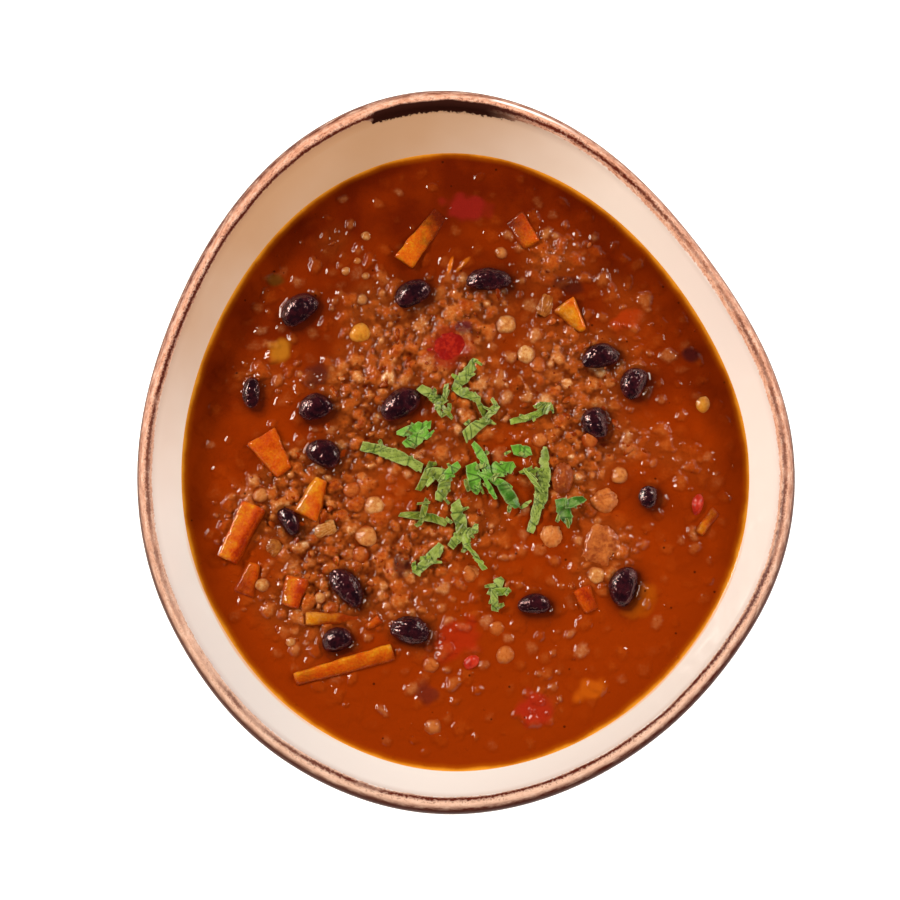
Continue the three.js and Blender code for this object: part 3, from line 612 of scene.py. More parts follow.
def broth_material(soup):
    """Lentil broth, simmered: opaque and wet, with painted shade between the lumps, lentils that the film
    half covers, tints of what lies just below, and oil along the wall."""
    material, node, shader = new_material("Lentil broth, simmered")
    place = node("ShaderNodeTexCoord", out="Object")
    broth = broth_colour(node, place, soup)
    edge, lift, tone, rough, stain = (
        node("ShaderNodeAttribute", attribute_name=name, out="Fac")
        for name in ("edge", "lift", "tone", "rough", "stain")
    )
    sunk = node("ShaderNodeAttribute", attribute_name="sunk", out="Color")
    sunk_share = sunk.node.outputs["Alpha"]

    # Grain of about 1 mm, and crumbs of about 1.8 mm
    fine = node("ShaderNodeTexNoise", Vector=place, Scale=900, Detail=5, Roughness=0.65)
    warp = node("ShaderNodeTexNoise", Vector=place, Scale=500, out="Color")
    bent = node("ShaderNodeVectorMath", warp, (0.0012,) * 3, place, operation="MULTIPLY_ADD")
    crumb = node("ShaderNodeTexVoronoi", Vector=bent, Scale=560, Smoothness=0.4, feature="SMOOTH_F1")
    crumb = node("ShaderNodeMath", crumb, -1.0, fine, operation="MULTIPLY_ADD")

    # Tan paste of lentils in the crowd, and painted shade: dark broth in the gaps between lumps
    low = node("ShaderNodeMapRange", lift, From_Min=0.0006, From_Max=-0.0002)
    low = node("ShaderNodeMath", low, rough, operation="MULTIPLY")
    paste = node("ShaderNodeMath", rough, 0.6, operation="MULTIPLY")
    # Skins round the tone of each lentil, mottled by the grain
    grainy = node("ShaderNodeMath", crumb, rough, operation="MULTIPLY")
    mottle = node("ShaderNodeMath", grainy, 0.5, tone, operation="MULTIPLY_ADD")
    mottle = node("ShaderNodeMath", fine, 0.8, mottle, operation="MULTIPLY_ADD")
    mottle = node("ShaderNodeMath", mottle, 0.4, operation="SUBTRACT")
    stops = (
        (0.0, linear("#8A3008")),
        (0.3, linear("#A84E16")),
        (0.55, linear("#B4662C")),
        (0.8, linear("#CA8C52")),
        (1.0, linear("#E0B482")),
    )
    skin = node("ShaderNodeValToRGB", mottle, stops=stops)
    bare = node("ShaderNodeMath", fine, 0.0003, lift, operation="MULTIPLY_ADD")
    bare = node("ShaderNodeMapRange", bare, From_Min=0.0003, From_Max=0.0015, To_Max=0.8, **SOFT_ENDS)
    # The film covers more of the lentils where they lie apart
    shown = node("ShaderNodeMapRange", rough, To_Min=0.5)
    bare = node("ShaderNodeMath", bare, shown, operation="MULTIPLY")
    # Pepper flecks of about 0.8 mm, some 7 mm apart
    fleck = node("ShaderNodeTexVoronoi", Vector=place, Scale=145)
    fleck = node("ShaderNodeMapRange", fleck, From_Min=0.075, From_Max=0.045, To_Max=0.8)
    # Oil along the wall: a narrow orange fringe that brightens to gold
    wavy = node("ShaderNodeTexNoise", Vector=place, Scale=110, Detail=4)
    from_wall = node("ShaderNodeMath", wavy, -0.0016, edge, operation="MULTIPLY_ADD")
    fringe = node(
        "ShaderNodeMapRange", from_wall, From_Min=0.0026, From_Max=-0.0008, To_Max=0.85, **SOFT_ENDS
    )
    line = node("ShaderNodeMapRange", from_wall, From_Min=0.0011, From_Max=-0.0005, **SOFT_ENDS)
    # From the broth up: paste, painted gap shade, lentil skins, what lies below, painted bean shadow,
    # pepper, oil
    colour = broth
    for share, over in (
        (paste, linear("#A4541C")),
        (low, linear("#461002")),
        (bare, skin),
        (sunk_share, sunk),
        (stain, linear("#2C0A04")),
        (fleck, linear("#280A02")),
        (fringe, linear("#AE5804")),
        (line, tuple(soup.oil)),
    ):
        colour = node("ShaderNodeMix", share, colour, over, data_type="RGBA")

    # Crumbly where lentils crowd, else smooth with tiny droplets some 5 mm apart
    relief = node("ShaderNodeMath", rough, 0.5, 0.1, operation="MULTIPLY_ADD")
    relief = node("ShaderNodeMath", crumb, relief, operation="MULTIPLY")
    drop = node("ShaderNodeTexVoronoi", Vector=bent, Scale=190)
    drop = node("ShaderNodeMapRange", drop, From_Min=0.11, From_Max=0.0, To_Max=0.35)
    relief = node("ShaderNodeMath", relief, drop, operation="ADD")
    bump = node("ShaderNodeBump", Height=relief, Strength=0.7, Distance=0.001)
    # The wet film over the crumbs only ripples
    ripple = node("ShaderNodeTexNoise", Vector=bent, Scale=750, Detail=1.0)
    ripple = node("ShaderNodeMath", ripple, rough, operation="MULTIPLY")
    ripple = node("ShaderNodeMath", ripple, drop, operation="ADD")
    ripple = node("ShaderNodeBump", Height=ripple, Strength=0.5, Distance=0.001)
    join(shader, Base_Color=colour, Normal=bump, Coat_Normal=ripple)
    fix(shader, Roughness=0.6, Coat_Weight=1.0, Coat_Roughness=0.04, Coat_IOR=1.36, Specular_IOR_Level=0.0)
    return material


def lentil_material(name, soup, tones, bare_height):
    """Lentils and broken grains, boiled: soft skins that the broth wets and half covers."""
    material, node, shader = new_material(name)
    place = node("ShaderNodeTexCoord", out="Object")
    broth = broth_colour(node, place, soup)
    shade = node("ShaderNodeAttribute", attribute_name="shade", out="Fac")
    above = node("ShaderNodeAttribute", attribute_name="above", out="Fac")
    # Skin in patches of about 1.3 mm, round the tone of each grain
    patches = node("ShaderNodeTexNoise", Vector=place, Scale=750, Detail=5, Roughness=0.6)
    shade = node("ShaderNodeMath", patches, 0.7, shade, operation="MULTIPLY_ADD")
    shade = node("ShaderNodeMath", shade, 0.38, operation="SUBTRACT")
    skin = node("ShaderNodeValToRGB", shade, stops=tones)
    dull = node("ShaderNodeMapRange", patches, From_Min=0.5, From_Max=0.36, To_Max=0.4)
    skin = node("ShaderNodeMix", dull, skin, linear("#6E2E08"), data_type="RGBA")
    # Broth film: it covers a grain up to a ragged line above the soup
    bare = node("ShaderNodeMath", patches, -bare_height, above, operation="MULTIPLY_ADD")
    bare = node(
        "ShaderNodeMapRange",
        bare,
        From_Min=-bare_height / 2,
        From_Max=bare_height,
        To_Max=0.92,
        **SOFT_ENDS,
    )
    colour = node("ShaderNodeMix", bare, broth, skin, data_type="RGBA")
    bump = node("ShaderNodeBump", Height=patches, Strength=0.4, Distance=0.0008)
    ripple = node("ShaderNodeTexNoise", Vector=place, Scale=900, Detail=1.0)
    ripple = node("ShaderNodeBump", Height=ripple, Strength=0.35, Distance=0.001)
    join(shader, Base_Color=colour, Normal=bump, Coat_Normal=ripple)
    fix(shader, Roughness=0.6, Coat_Weight=0.9, Coat_Roughness=0.04, Specular_IOR_Level=0.0, Coat_IOR=1.38)
    fix(shader, Subsurface_Weight=0.12, Subsurface_Radius=(1.0, 0.45, 0.18), Subsurface_Scale=0.001)
    return material


class Finish(NamedTuple):
    """How a boiled piece looks: sizes of its fine grain and its relief, height that the broth covers,
    wet coat and how rough that is, sheen of its own skin, how far light goes in, the sheen's tint,
    ripples of the wet coat, how rough its own skin is, and how detailed its grain is."""

    fine: float = 0.001
    relief: float = 0.0003
    film: float = 0.0
    coat: float = 0.7
    gloss: float = 0.05
    sheen: float = 0.05
    soft: float = 0.0
    tint: tuple = (1.0, 1.0, 1.0, 1.0)
    ripple: float = 0.0003
    skin: float = 0.4
    detail: float = 4.0


def food_material(name, soup, stops, finish):
    """A boiled piece of food: its own tones in clouds and fine grain, wet, with broth that
    clings to it up to a ragged line above the soup."""
    material, node, shader = new_material(name)
    place = node("ShaderNodeTexCoord", out="Object")
    broth = broth_colour(node, place, soup)
    height = node("ShaderNodeSeparateXYZ", place, out="Z")
    tone = node("ShaderNodeAttribute", attribute_name="tone", out="Fac")
    # Clouds of about 3 mm and a finer grain move the tone
    clouds = node("ShaderNodeTexNoise", Vector=place, Scale=320, Detail=4)
    fine = node("ShaderNodeTexNoise", Vector=place, Scale=1 / finish.fine, Detail=finish.detail)
    mixed = node("ShaderNodeMath", clouds, 0.9, tone, operation="MULTIPLY_ADD")
    mixed = node("ShaderNodeMath", fine, 0.7, mixed, operation="MULTIPLY_ADD")
    mixed = node("ShaderNodeMath", mixed, 0.8, operation="SUBTRACT")
    body = node("ShaderNodeValToRGB", mixed, stops=stops)
    above = node("ShaderNodeMath", height, SOUP_LEVEL, operation="SUBTRACT")
    bare = node("ShaderNodeMath", clouds, -0.0024, above, operation="MULTIPLY_ADD")
    bare = node(
        "ShaderNodeMapRange",
        bare,
        From_Min=finish.film - 0.0018,
        From_Max=finish.film + 0.0002,
        **SOFT_ENDS,
    )
    colour = node("ShaderNodeMix", bare, broth, body, data_type="RGBA")
    bump = node("ShaderNodeBump", Height=fine, Strength=1.0, Distance=finish.relief)
    ripple = node("ShaderNodeTexNoise", Vector=place, Scale=0.7 / finish.fine, Detail=1.0)
    ripple = node("ShaderNodeBump", Height=ripple, Strength=1.0, Distance=finish.ripple)
    wet = node("ShaderNodeMapRange", bare, To_Min=finish.coat / 3, To_Max=finish.coat)
    join(shader, Base_Color=colour, Normal=bump, Coat_Normal=ripple, Coat_Weight=wet)
    fix(shader, Roughness=finish.skin, Specular_IOR_Level=finish.sheen, Specular_Tint=finish.tint)
    fix(shader, Coat_Roughness=finish.gloss, Coat_IOR=1.45)
    fix(shader, Subsurface_Weight=finish.soft, Subsurface_Radius=(1.0, 0.5, 0.2), Subsurface_Scale=0.0015)
    return material


def leaf_material():
    """Coriander leaf, chopped: a satin blade, with painted shade along its folds and a painted highlight
    along the cut.
    """
    material, node, shader = new_material("Coriander leaf, chopped")
    place = node("ShaderNodeTexCoord", out="Object")
    tone = node("ShaderNodeAttribute", attribute_name="tone", out="Color")
    cut = node("ShaderNodeAttribute", attribute_name="cut", out="Fac")
    crease = node("ShaderNodeAttribute", attribute_name="crease", out="Fac")
    # Veins part the blade into fields of about 2 mm
    veins = node("ShaderNodeTexVoronoi", Vector=place, Scale=480, feature="DISTANCE_TO_EDGE")
    vein = node("ShaderNodeMapRange", veins, From_Min=0.07, From_Max=0.0, To_Max=0.35)
    clouds = node("ShaderNodeTexNoise", Vector=place, Scale=420, Detail=5)
    light = node("ShaderNodeMapRange", clouds, From_Min=0.45, From_Max=0.75, To_Max=0.4)
    dark = node("ShaderNodeMapRange", clouds, From_Min=0.5, From_Max=0.32, To_Max=0.6)
    # Veins, and painted shade along the folds
    for share in (vein, crease):
        dark = node("ShaderNodeMath", dark, share, operation="MAXIMUM")
    # Painted highlight: paler along the cut edge
    pale = node("ShaderNodeMapRange", cut, From_Min=0.75, From_Max=1.0, To_Max=0.22)
    colour = tone
    for share, over in ((light, "#B0BC74"), (dark, "#2A420C"), (pale, "#C2CE8A")):
        colour = node("ShaderNodeMix", share, colour, linear(over), data_type="RGBA")
    relief = node("ShaderNodeMath", veins, 1.5, clouds, operation="MULTIPLY_ADD")
    bump = node("ShaderNodeBump", Height=relief, Strength=0.25, Distance=0.0003)
    join(shader, Base_Color=colour, Normal=bump)
    fix(shader, Roughness=0.4, Specular_IOR_Level=0.4)
    return material


def bowl_mesh():
    """Turns the bowl's profile finely and waves it to the rim's outline."""
    turns = 320
    outer_steps = 44
    lip_steps = 16
    inner_steps = 60
    unevenness = 0.0004
    ring_inner = FOOT_RADIUS - FOOT_RING_WIDTH
    profile = [
        (0.0, FOOT_RECESS),
        (ring_inner - FOOT_RECESS, FOOT_RECESS),
        (ring_inner - 0.0003, 0.0003),
        (ring_inner + 0.0002, 0.0),
        (FOOT_RADIUS - FOOT_EDGE, 0.0),
        (FOOT_RADIUS - FOOT_EDGE / 4, FOOT_EDGE / 4),
        (FOOT_RADIUS, FOOT_EDGE),
        (FOOT_RADIUS, FOOT_HEIGHT - 0.0004),
    ]
    for share in np.linspace(0, 1, outer_steps)[:-1]:
        radius = FOOT_RADIUS + (RIM_RADIUS - FOOT_RADIUS) * share
        profile.append((radius, FOOT_HEIGHT + (LIP_LEVEL - FOOT_HEIGHT) * share ** (1 / OUTER_CURVE)))
    crest = len(profile) + lip_steps // 2
    for swing in np.linspace(0, math.pi, lip_steps + 1):
        radius = RIM_RADIUS - LIP_RADIUS + LIP_RADIUS * math.cos(swing)
        profile.append((radius, LIP_LEVEL + LIP_RADIUS * math.sin(swing)))
    for share in np.linspace(1, 0, inner_steps)[1:]:
        radius = FLOOR_RADIUS + (RIM_RADIUS - LIP_THICKNESS - FLOOR_RADIUS) * share
        profile.append((radius, FLOOR_HEIGHT + (LIP_LEVEL - FLOOR_HEIGHT) * share ** (1 / INNER_CURVE)))
    profile.append((0.0, FLOOR_HEIGHT))
    profile = np.array(profile)
    run = np.concatenate(([0], np.cumsum(np.hypot(*np.diff(profile, axis=0).T))))
    run -= run[crest]
    angle = np.linspace(0, 2 * math.pi, turns, endpoint=False)
    hand = np.array([noise.noise((2.3 * math.cos(a), 2.3 * math.sin(a), 4.0)) for a in angle])
    places = []
    bands = []
    rows = len(profile)
    for (radius, z), inward in zip(profile[1:-1], run[1:-1]):
        climb = wall_climb(z) ** 3
        x, y = outline_place(angle, radius + unevenness * hand * climb, z)
        places.append(np.stack([x, y, z + unevenness * np.roll(hand, turns // 8) * climb], -1))
        around = RIM_RADIUS * np.stack([np.cos(angle), np.sin(angle)], -1)
        bands.append(np.column_stack([around, np.full(turns, inward)]))
    places = np.concatenate(places)
    bands = np.concatenate(bands)
    under = np.array([[*outline_place(0.0, 0.0, FOOT_RECESS), FOOT_RECESS]])
    floor = np.array([[*outline_place(0.0, 0.0, FLOOR_HEIGHT), FLOOR_HEIGHT]])
    last = len(places)
    faces = []
    for row in range(rows - 3):
        for i in range(turns):
            j = (i + 1) % turns
            a = row * turns
            b = a + turns
            faces.append((a + i, a + j, b + j, b + i))
    top = (rows - 3) * turns
    for i in range(turns):
        j = (i + 1) % turns
        faces.append((j, i, last))
        faces.append((top + i, top + j, last + 1))
    mesh = bpy.data.meshes.new("bowl_glazed")
    mesh.from_pydata(np.concatenate((places, under, floor)).tolist(), [], faces)
    ends = np.array([[0, 0, run[0]], [0, 0, run[-1]]])
    store(mesh, "band", "FLOAT_VECTOR", np.concatenate((bands, ends)))
    return mesh


def waterline(node):
    """Outline of a CAD node where it comes out of the soup, as a convex loop."""
    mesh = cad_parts[node].data
    places = read_points(mesh, "co")
    cuts = []
    for edge in mesh.edges:
        low, high = places[edge.vertices[0]], places[edge.vertices[1]]
        if (low[2] - SOUP_LEVEL) * (high[2] - SOUP_LEVEL) < 0:
            cuts.append(low + (high - low) * (SOUP_LEVEL - low[2]) / (high[2] - low[2]))
    cuts = sorted({(round(x, 6), round(y, 6)) for x, y, _ in cuts})
    halves = []
    for order in (cuts, cuts[::-1]):
        half = []
        for x, y in order:
            while len(half) > 1:
                (ax, ay), (bx, by) = half[-2:]
                if (bx - ax) * (y - ay) - (by - ay) * (x - ax) > 0:
                    break
                half.pop()
            half.append((x, y))
        halves.append(half[:-1])
    return np.array(halves[0] + halves[1])


def line_gap(x, y, start, end):
    """Distance of each place from the straight line between two ends."""
    run = np.subtract(end, start)
    along = np.clip(((x - start[0]) * run[0] + (y - start[1]) * run[1]) / (run @ run), 0, 1)
    return np.hypot(x - start[0] - along * run[0], y - start[1] - along * run[1])


def loop_distance(x, y, loop):
    """Distance of each place from a convex loop, negative inside it."""
    outside = np.full(x.shape, np.inf)
    inside = np.full(x.shape, -np.inf)
    for start, end in zip(loop, np.roll(loop, -1, axis=0)):
        outside = np.minimum(outside, line_gap(x, y, start, end))
        run = end - start
        side = (run[1] * (x - start[0]) - run[0] * (y - start[1])) / math.hypot(*run)
        inside = np.maximum(inside, side)
    return np.where(inside > 0, outside, inside)


def solid_food():
    """Names of the CAD nodes that stand in the soup."""
    return [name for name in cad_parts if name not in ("bowl", "soup") and "coriander" not in name]


def smooth_step(value, low, high):
    share = np.clip((value - low) / (high - low), 0, 1)
    return share * share * (3 - 2 * share)


# Where lentils crowd: place, reach and how much they add to the crowd
CROWDS = (
    ((-0.043, -0.02), 0.035, 0.6),
    ((-0.02, 0.03), 0.03, 0.35),
    ((0.0, 0.055), 0.025, 0.4),
    ((0.046, 0.003), 0.025, 0.3),
    ((0.033, -0.053), 0.022, 0.15),
    ((0.075, -0.06), 0.03, -0.5),
    ((-0.075, 0.06), 0.03, -0.5),
    ((0.075, 0.06), 0.025, -0.4),
    ((-0.01, 0.09), 0.03, -0.7),
    ((-0.08, 0.0), 0.02, -0.4),
)


class Layer(NamedTuple):
    """Lentils or crumbs in the skin: spacing, half widths, heights, tones, and how far they keep to
    the crowd."""

    gap: float
    halves: tuple
    tops: tuple
    tones: tuple
    crowd: float


# Cells of the soup's grid each way, and the lentils and crumbs that are relief in it
CELLS = 620
LAYERS = (
    Layer(0.0048, (0.002, 0.0038), (0.0003, 0.0018), (0.1, 0.85), 0.0),
    Layer(0.0032, (0.0009, 0.0021), (0.0004, 0.0015), (0.1, 0.85), 1.0),
)


class Lentil(NamedTuple):
    """A lentil that stands out: its place, half width, tone from dark to pale, and height."""

    at: tuple
    half: float
    tone: float
    rise: float = 0.0016


LENTILS = (
    Lentil((0.0157, 0.0455), 0.0037, 0.92, 0.0022),
    Lentil((0.0223, 0.0353), 0.0034, 0.98, 0.0022),
    Lentil((-0.0284, -0.0156), 0.0036, 0.95, 0.0022),
    Lentil((-0.031, -0.0256), 0.004, 0.86, 0.0024),
    Lentil((0.0147, -0.0649), 0.0037, 0.7, 0.0018),
    Lentil((0.0118, -0.056), 0.003, 0.62),
    Lentil((0.0447, -0.0385), 0.0032, 0.9, 0.0022),
    Lentil((0.0529, -0.0052), 0.0032, 0.82, 0.002),
    Lentil((-0.0088, -0.0884), 0.0034, 0.74),
    Lentil((0.026, 0.0319), 0.0032, 0.5),
    Lentil((-0.0353, -0.0102), 0.0032, 0.6),
    Lentil((0.0431, 0.0065), 0.003, 0.6),
    Lentil((0.0265, 0.0065), 0.0028, 0.7),
    Lentil((0.0033, -0.0385), 0.003, 0.66),
    Lentil((-0.0329, -0.0319), 0.003, 0.55),
    Lentil((-0.0098, -0.0682), 0.003, 0.6),
    Lentil((-0.0315, 0.0761), 0.0018, 0.98, 0.0014),
    Lentil((-0.0381, 0.064), 0.0016, 0.96, 0.0013),
    Lentil((-0.0344, 0.0675), 0.0014, 0.9, 0.0012),
    Lentil((-0.0327, 0.0544), 0.0022, 0.94, 0.0014),
    Lentil((-0.0314, 0.0623), 0.0015, 0.96, 0.0012),
    Lentil((0.0138, 0.0702), 0.0024, 0.86, 0.0014),
    Lentil((-0.0553, -0.0606), 0.0018, 0.96, 0.0014),
    Lentil((-0.065, -0.0418), 0.0026, 0.94, 0.0018),
    Lentil((-0.046, -0.0461), 0.002, 0.96, 0.0016),
    Lentil((-0.066, -0.012), 0.0028, 0.86, 0.0018),
)


def spread_out(x, y, spots, gap):
    """Keeps the spots, in their order, that are not closer than the gap to one kept before."""
    taken = np.empty((len(spots), 2))
    kept = []
    for spot in spots:
        seen = taken[: len(kept)]
        if len(kept) and np.hypot(x[spot] - seen[:, 0], y[spot] - seen[:, 1]).min() < gap:
            continue
        taken[len(kept)] = x[spot], y[spot]
        kept.append(spot)
    return kept


def grid_faces(rows, columns):
    """Faces of four points each between the rows and columns of a grid of points."""
    index = np.arange(rows * columns).reshape(rows, columns)
    return np.stack([index[:-1, :-1], index[:-1, 1:], index[1:, 1:], index[1:, :-1]], -1).reshape(-1, 4)


def sheet_mesh(places, values):
    """Mesh of a grid of places, in rows and columns, with named values for each place."""
    mesh = bpy.data.meshes.new("soup_skin")
    mesh.from_pydata(places.reshape(-1, 3).tolist(), [], grid_faces(*places.shape[:2]).tolist())
    for key, value in values.items():
        store(mesh, key, "FLOAT_COLOR" if value.ndim == 3 else "FLOAT", value)
    return mesh


def even_out(values, times):
    """Blends each value of the soup's grid with those beside it."""
    sheet = values.reshape(CELLS + 1, CELLS + 1).copy()
    for _ in range(times):
        beside = (sheet[:-2, 1:-1] + sheet[2:, 1:-1] + sheet[1:-1, :-2] + sheet[1:-1, 2:]) / 4
        sheet[1:-1, 1:-1] = (sheet[1:-1, 1:-1] + beside) / 2
    return sheet.ravel()


def soup_skin(soup):
    """The soup's skin as a fine grid of places: lentils and crumbs that the film half covers, and a film
    that climbs the wall and every piece, with the values that colour it and scatter on it."""
    climb = 0.001
    tuck = 0.0003
    food_margin = 0.008
    shadow_shift = (0.0014, -0.0011)
    shadow_fade = 0.0018
    most_spots = 24000
    a, b = np.meshgrid(np.linspace(-1, 1, CELLS + 1), np.linspace(-1, 1, CELLS + 1))
    wide = np.abs(a) > np.abs(b)
    reach = np.where(wide, a, b)
    safe = np.where(reach == 0, 1, reach)
    turn = np.where(wide, math.pi / 4 * b / safe, math.pi / 2 - math.pi / 4 * a / safe)
    angle = np.where(reach < 0, turn + math.pi, turn).ravel()
    reach = np.abs(reach).ravel()
    brim = SOUP_LEVEL + climb
    wall_x, wall_y = outline_place(angle, inner_radius(brim) + tuck, brim)
    middle = outline_place(0.0, 0.0, SOUP_LEVEL)
    x = middle[0] + reach * (wall_x - middle[0])
    y = middle[1] + reach * (wall_y - middle[1])
    edge = (1 - reach) * np.hypot(wall_x - middle[0], wall_y - middle[1])
    flat = np.stack([x, y, np.zeros_like(x)], -1)

    # Distance from the food, and a painted shadow on the broth beside each dark bean
    near = np.full(x.shape, np.inf)
    stain = np.zeros_like(x)
    for name in solid_food():
        loop = waterline(name)
        if len(loop) < 3:
            continue
        low, high = loop.min(0) - food_margin, loop.max(0) + food_margin
        close = np.flatnonzero((x > low[0]) & (x < high[0]) & (y > low[1]) & (y < high[1]))
        near[close] = np.minimum(near[close], loop_distance(x[close], y[close], loop))
        if name.startswith("black_bean"):
            shadow = loop_distance(x[close], y[close], loop + shadow_shift)
            stain[close] = np.maximum(stain[close], 0.85 * np.exp(-np.maximum(shadow, 0) / shadow_fade))
    # Distance from the leaf blades, and from the lentils that stand out
    leaf = np.full(x.shape, np.inf)
    for blade in (blade for heap in CORIANDER for blade in heap):
        gap = line_gap(x, y, np.add(blade.start, RIM_MIDDLE), np.add(blade.end, RIM_MIDDLE))
        leaf = np.minimum(leaf, gap - blade.width / 2)
    whole = np.full(x.shape, np.inf)
    for lentil in LENTILS:
        gap = np.hypot(x - RIM_MIDDLE[0] - lentil.at[0], y - RIM_MIDDLE[1] - lentil.at[1]) - lentil.half
        whole = np.minimum(whole, gap)

    # How closely lentils crowd, in clouds of about 22 mm
    crowd = 0.55 + 0.6 * speckle(flat + 0.3, 0.022)
    for at, size, weight in CROWDS:
        gap = np.hypot(x - RIM_MIDDLE[0] - at[0], y - RIM_MIDDLE[1] - at[1])
        crowd += weight * np.exp(-((gap / size) ** 2))
    mush = np.clip(crowd, 0, 1) * smooth_step(edge, 0.005, 0.02) * smooth_step(leaf, -0.004, 0.001)
    rough = smooth_step(crowd, 0.45, 1.15) * smooth_step(edge, 0.008, 0.02)

    # Lentils first, then crumbs; where two meet, the higher one shows
    lift = np.zeros_like(x)
    tone = np.full_like(x, 0.3)
    draw = np.random.default_rng(soup.seed)
    outline = 0.42 * speckle(flat, 0.0034) + 0.24 * speckle(flat + 0.2, 0.0013)
    grain = 0.00028 * speckle(flat + 0.9, 0.0018) + 0.0002 * speckle(flat + 0.7, 0.001)
    grain *= 0.1 + 0.9 * rough
    for layer in LAYERS:
        chance = draw.uniform(size=len(x))
        free = (edge > 0.005 + 0.012 * chance) & (near > 0.0007) & (leaf > -0.0005) & (whole > 0.0006)
        free &= chance < (1 - layer.crowd) * (0.35 + 0.65 * mush) + layer.crowd * rough
        spots = draw.permutation(np.flatnonzero(free))[:most_spots]
        for spot in spread_out(x, y, spots, layer.gap):
            half = draw.uniform(*layer.halves)
            stretch = draw.uniform(0.62, 1.0)
            tilt = draw.uniform(0, math.pi)
            top = layer.tops[0] + (layer.tops[1] - layer.tops[0]) * draw.uniform()
            top *= 0.35 + 0.65 * mush[spot]
            shade = layer.tones[0] + (layer.tones[1] - layer.tones[0]) * draw.uniform() ** 1.4
            dx = x - x[spot]
            dy = y - y[spot]
            close = np.flatnonzero((np.abs(dx) < half * 1.4) & (np.abs(dy) < half * 1.4))
            along = dx[close] * math.cos(tilt) + dy[close] * math.sin(tilt)
            aside = (dy[close] * math.cos(tilt) - dx[close] * math.sin(tilt)) / stretch
            gap = np.hypot(along, aside) / half + outline[close]
            rise = top * (1 - smooth_step(gap, 0.25, 1.12))
            lip = 0.00024 * draw.uniform() * (0.3 + 0.7 * mush[spot])
            rise += lip * np.exp(-(((gap - 0.8) / 0.14) ** 2))
            over = rise > lift[close]
            lift[close[over]] = rise[over]
            tone[close[over]] = shade
    lift = even_out(lift, 2) + grain
    tone = even_out(tone, 3)
    height = 0.0002 * speckle(flat + 1.1, 0.03) + lift
    height += mush * 0.0004 * (speckle(flat + 0.4, 0.006) - 0.7)

    # Tints of the pieces that lie under the skin, which they lift a little
    tints = np.zeros((len(x), 4))
    for piece in SUNK:
        spin = math.radians(piece.turn)
        dx = x - RIM_MIDDLE[0] - piece.at[0]
        dy = y - RIM_MIDDLE[1] - piece.at[1]
        along = (dx * math.cos(spin) + dy * math.sin(spin)) / piece.half[0]
        aside = (dy * math.cos(spin) - dx * math.sin(spin)) / piece.half[1]
        close = np.flatnonzero(np.hypot(along, aside) < 1.6)
        wobble = 0.5 * speckle(flat[close], 0.004)
        share = 1 - smooth_step(np.hypot(along, aside)[close] + wobble, 0.55, 1.25)
        height[close] += 0.0004 * share
        share = share * piece.strength
        over = share > tints[close, 3]
        tints[close[over], :3] = linear(piece.colour)[:3]
        tints[close, 3] = np.maximum(tints[close, 3], share)

    # The film climbs the wall, the food and the lentils that stand out
    height = height * smooth_step(edge, 0.0, 0.006) + climb * np.exp(-edge / 0.0013)
    cling = 0.00035
    under = cling + 0.6 * np.minimum(near + 0.0002, 0)
    film = np.where(near > 0, cling * np.exp(-near / 0.0009), under)
    height = np.maximum(height * smooth_step(near, -0.0002, 0.0012) + film, -0.003)
    height += 0.0003 * np.exp(-np.maximum(whole, 0) / 0.0009)

    # Room for grains, away from food, leaves and the lentils that stand out
    clear = smooth_step(near, 0.0004, 0.0012) * smooth_step(leaf, -0.0005, 0.0005)
    clear *= smooth_step(whole, 0.0, 0.0008)
    values = {
        "edge": edge,
        "lift": lift,
        "tone": tone,
        "stain": stain,
        "rough": rough,
        "crumb_room": clear * smooth_step(edge, 0.006, 0.014) * rough,
        "bit_room": clear * smooth_step(edge, 0.004, 0.01) * (0.06 + 0.94 * rough),
        "sunk": tints,
    }
    grid = (CELLS + 1, CELLS + 1)
    places = np.stack([x, y, SOUP_LEVEL + height], -1).reshape(*grid, 3)
    return places, {key: value.reshape(*grid, *value.shape[1:]) for key, value in values.items()}


def whole_lentils():
    """The lentils that stand out, each a soft lens with an uneven skin."""
    shape = bmesh.new()
    bmesh.ops.create_icosphere(shape, subdivisions=4, radius=1)
    ball = np.array([vert.co[:] for vert in shape.verts])
    corners = np.array([[vert.index for vert in face.verts] for face in shape.faces])
    shape.free()
    places = []
    faces = []
    shades = []
    for number, lentil in enumerate(LENTILS):
        # A lumpy lens, a little over half as thick as it is wide, tilted and turned by its number
        thick = 0.55 * lentil.half
        x, y = np.add(lentil.at, RIM_MIDDLE)
        lumps = 1 + 0.14 * speckle(ball + number * 3.1, 0.8) + 0.05 * speckle(ball + number * 5.3, 0.35)
        shaped = ball * lumps[:, None] * (lentil.half, lentil.half * 0.93, thick)
        shaped[:, 2] += 0.1 * shaped[:, 0] * math.sin(number * 2.4)
        spin = number * 1.9
        turned = np.stack(
            [
                shaped[:, 0] * math.cos(spin) - shaped[:, 1] * math.sin(spin) + x,
                shaped[:, 0] * math.sin(spin) + shaped[:, 1] * math.cos(spin) + y,
                shaped[:, 2] + SOUP_LEVEL + 0.75 * lentil.rise - thick,
            ],
            -1,
        )
        faces.append(corners + len(ball) * number)
        places.append(turned)
        shades.append(np.full(len(ball), lentil.tone))
    places = np.concatenate(places)
    mesh = bpy.data.meshes.new("lentils_whole")
    mesh.from_pydata(places.tolist(), [], np.concatenate(faces).tolist())
    store(mesh, "shade", "FLOAT", np.concatenate(shades))
    store(mesh, "above", "FLOAT", places[:, 2] - SOUP_LEVEL)
    return mesh


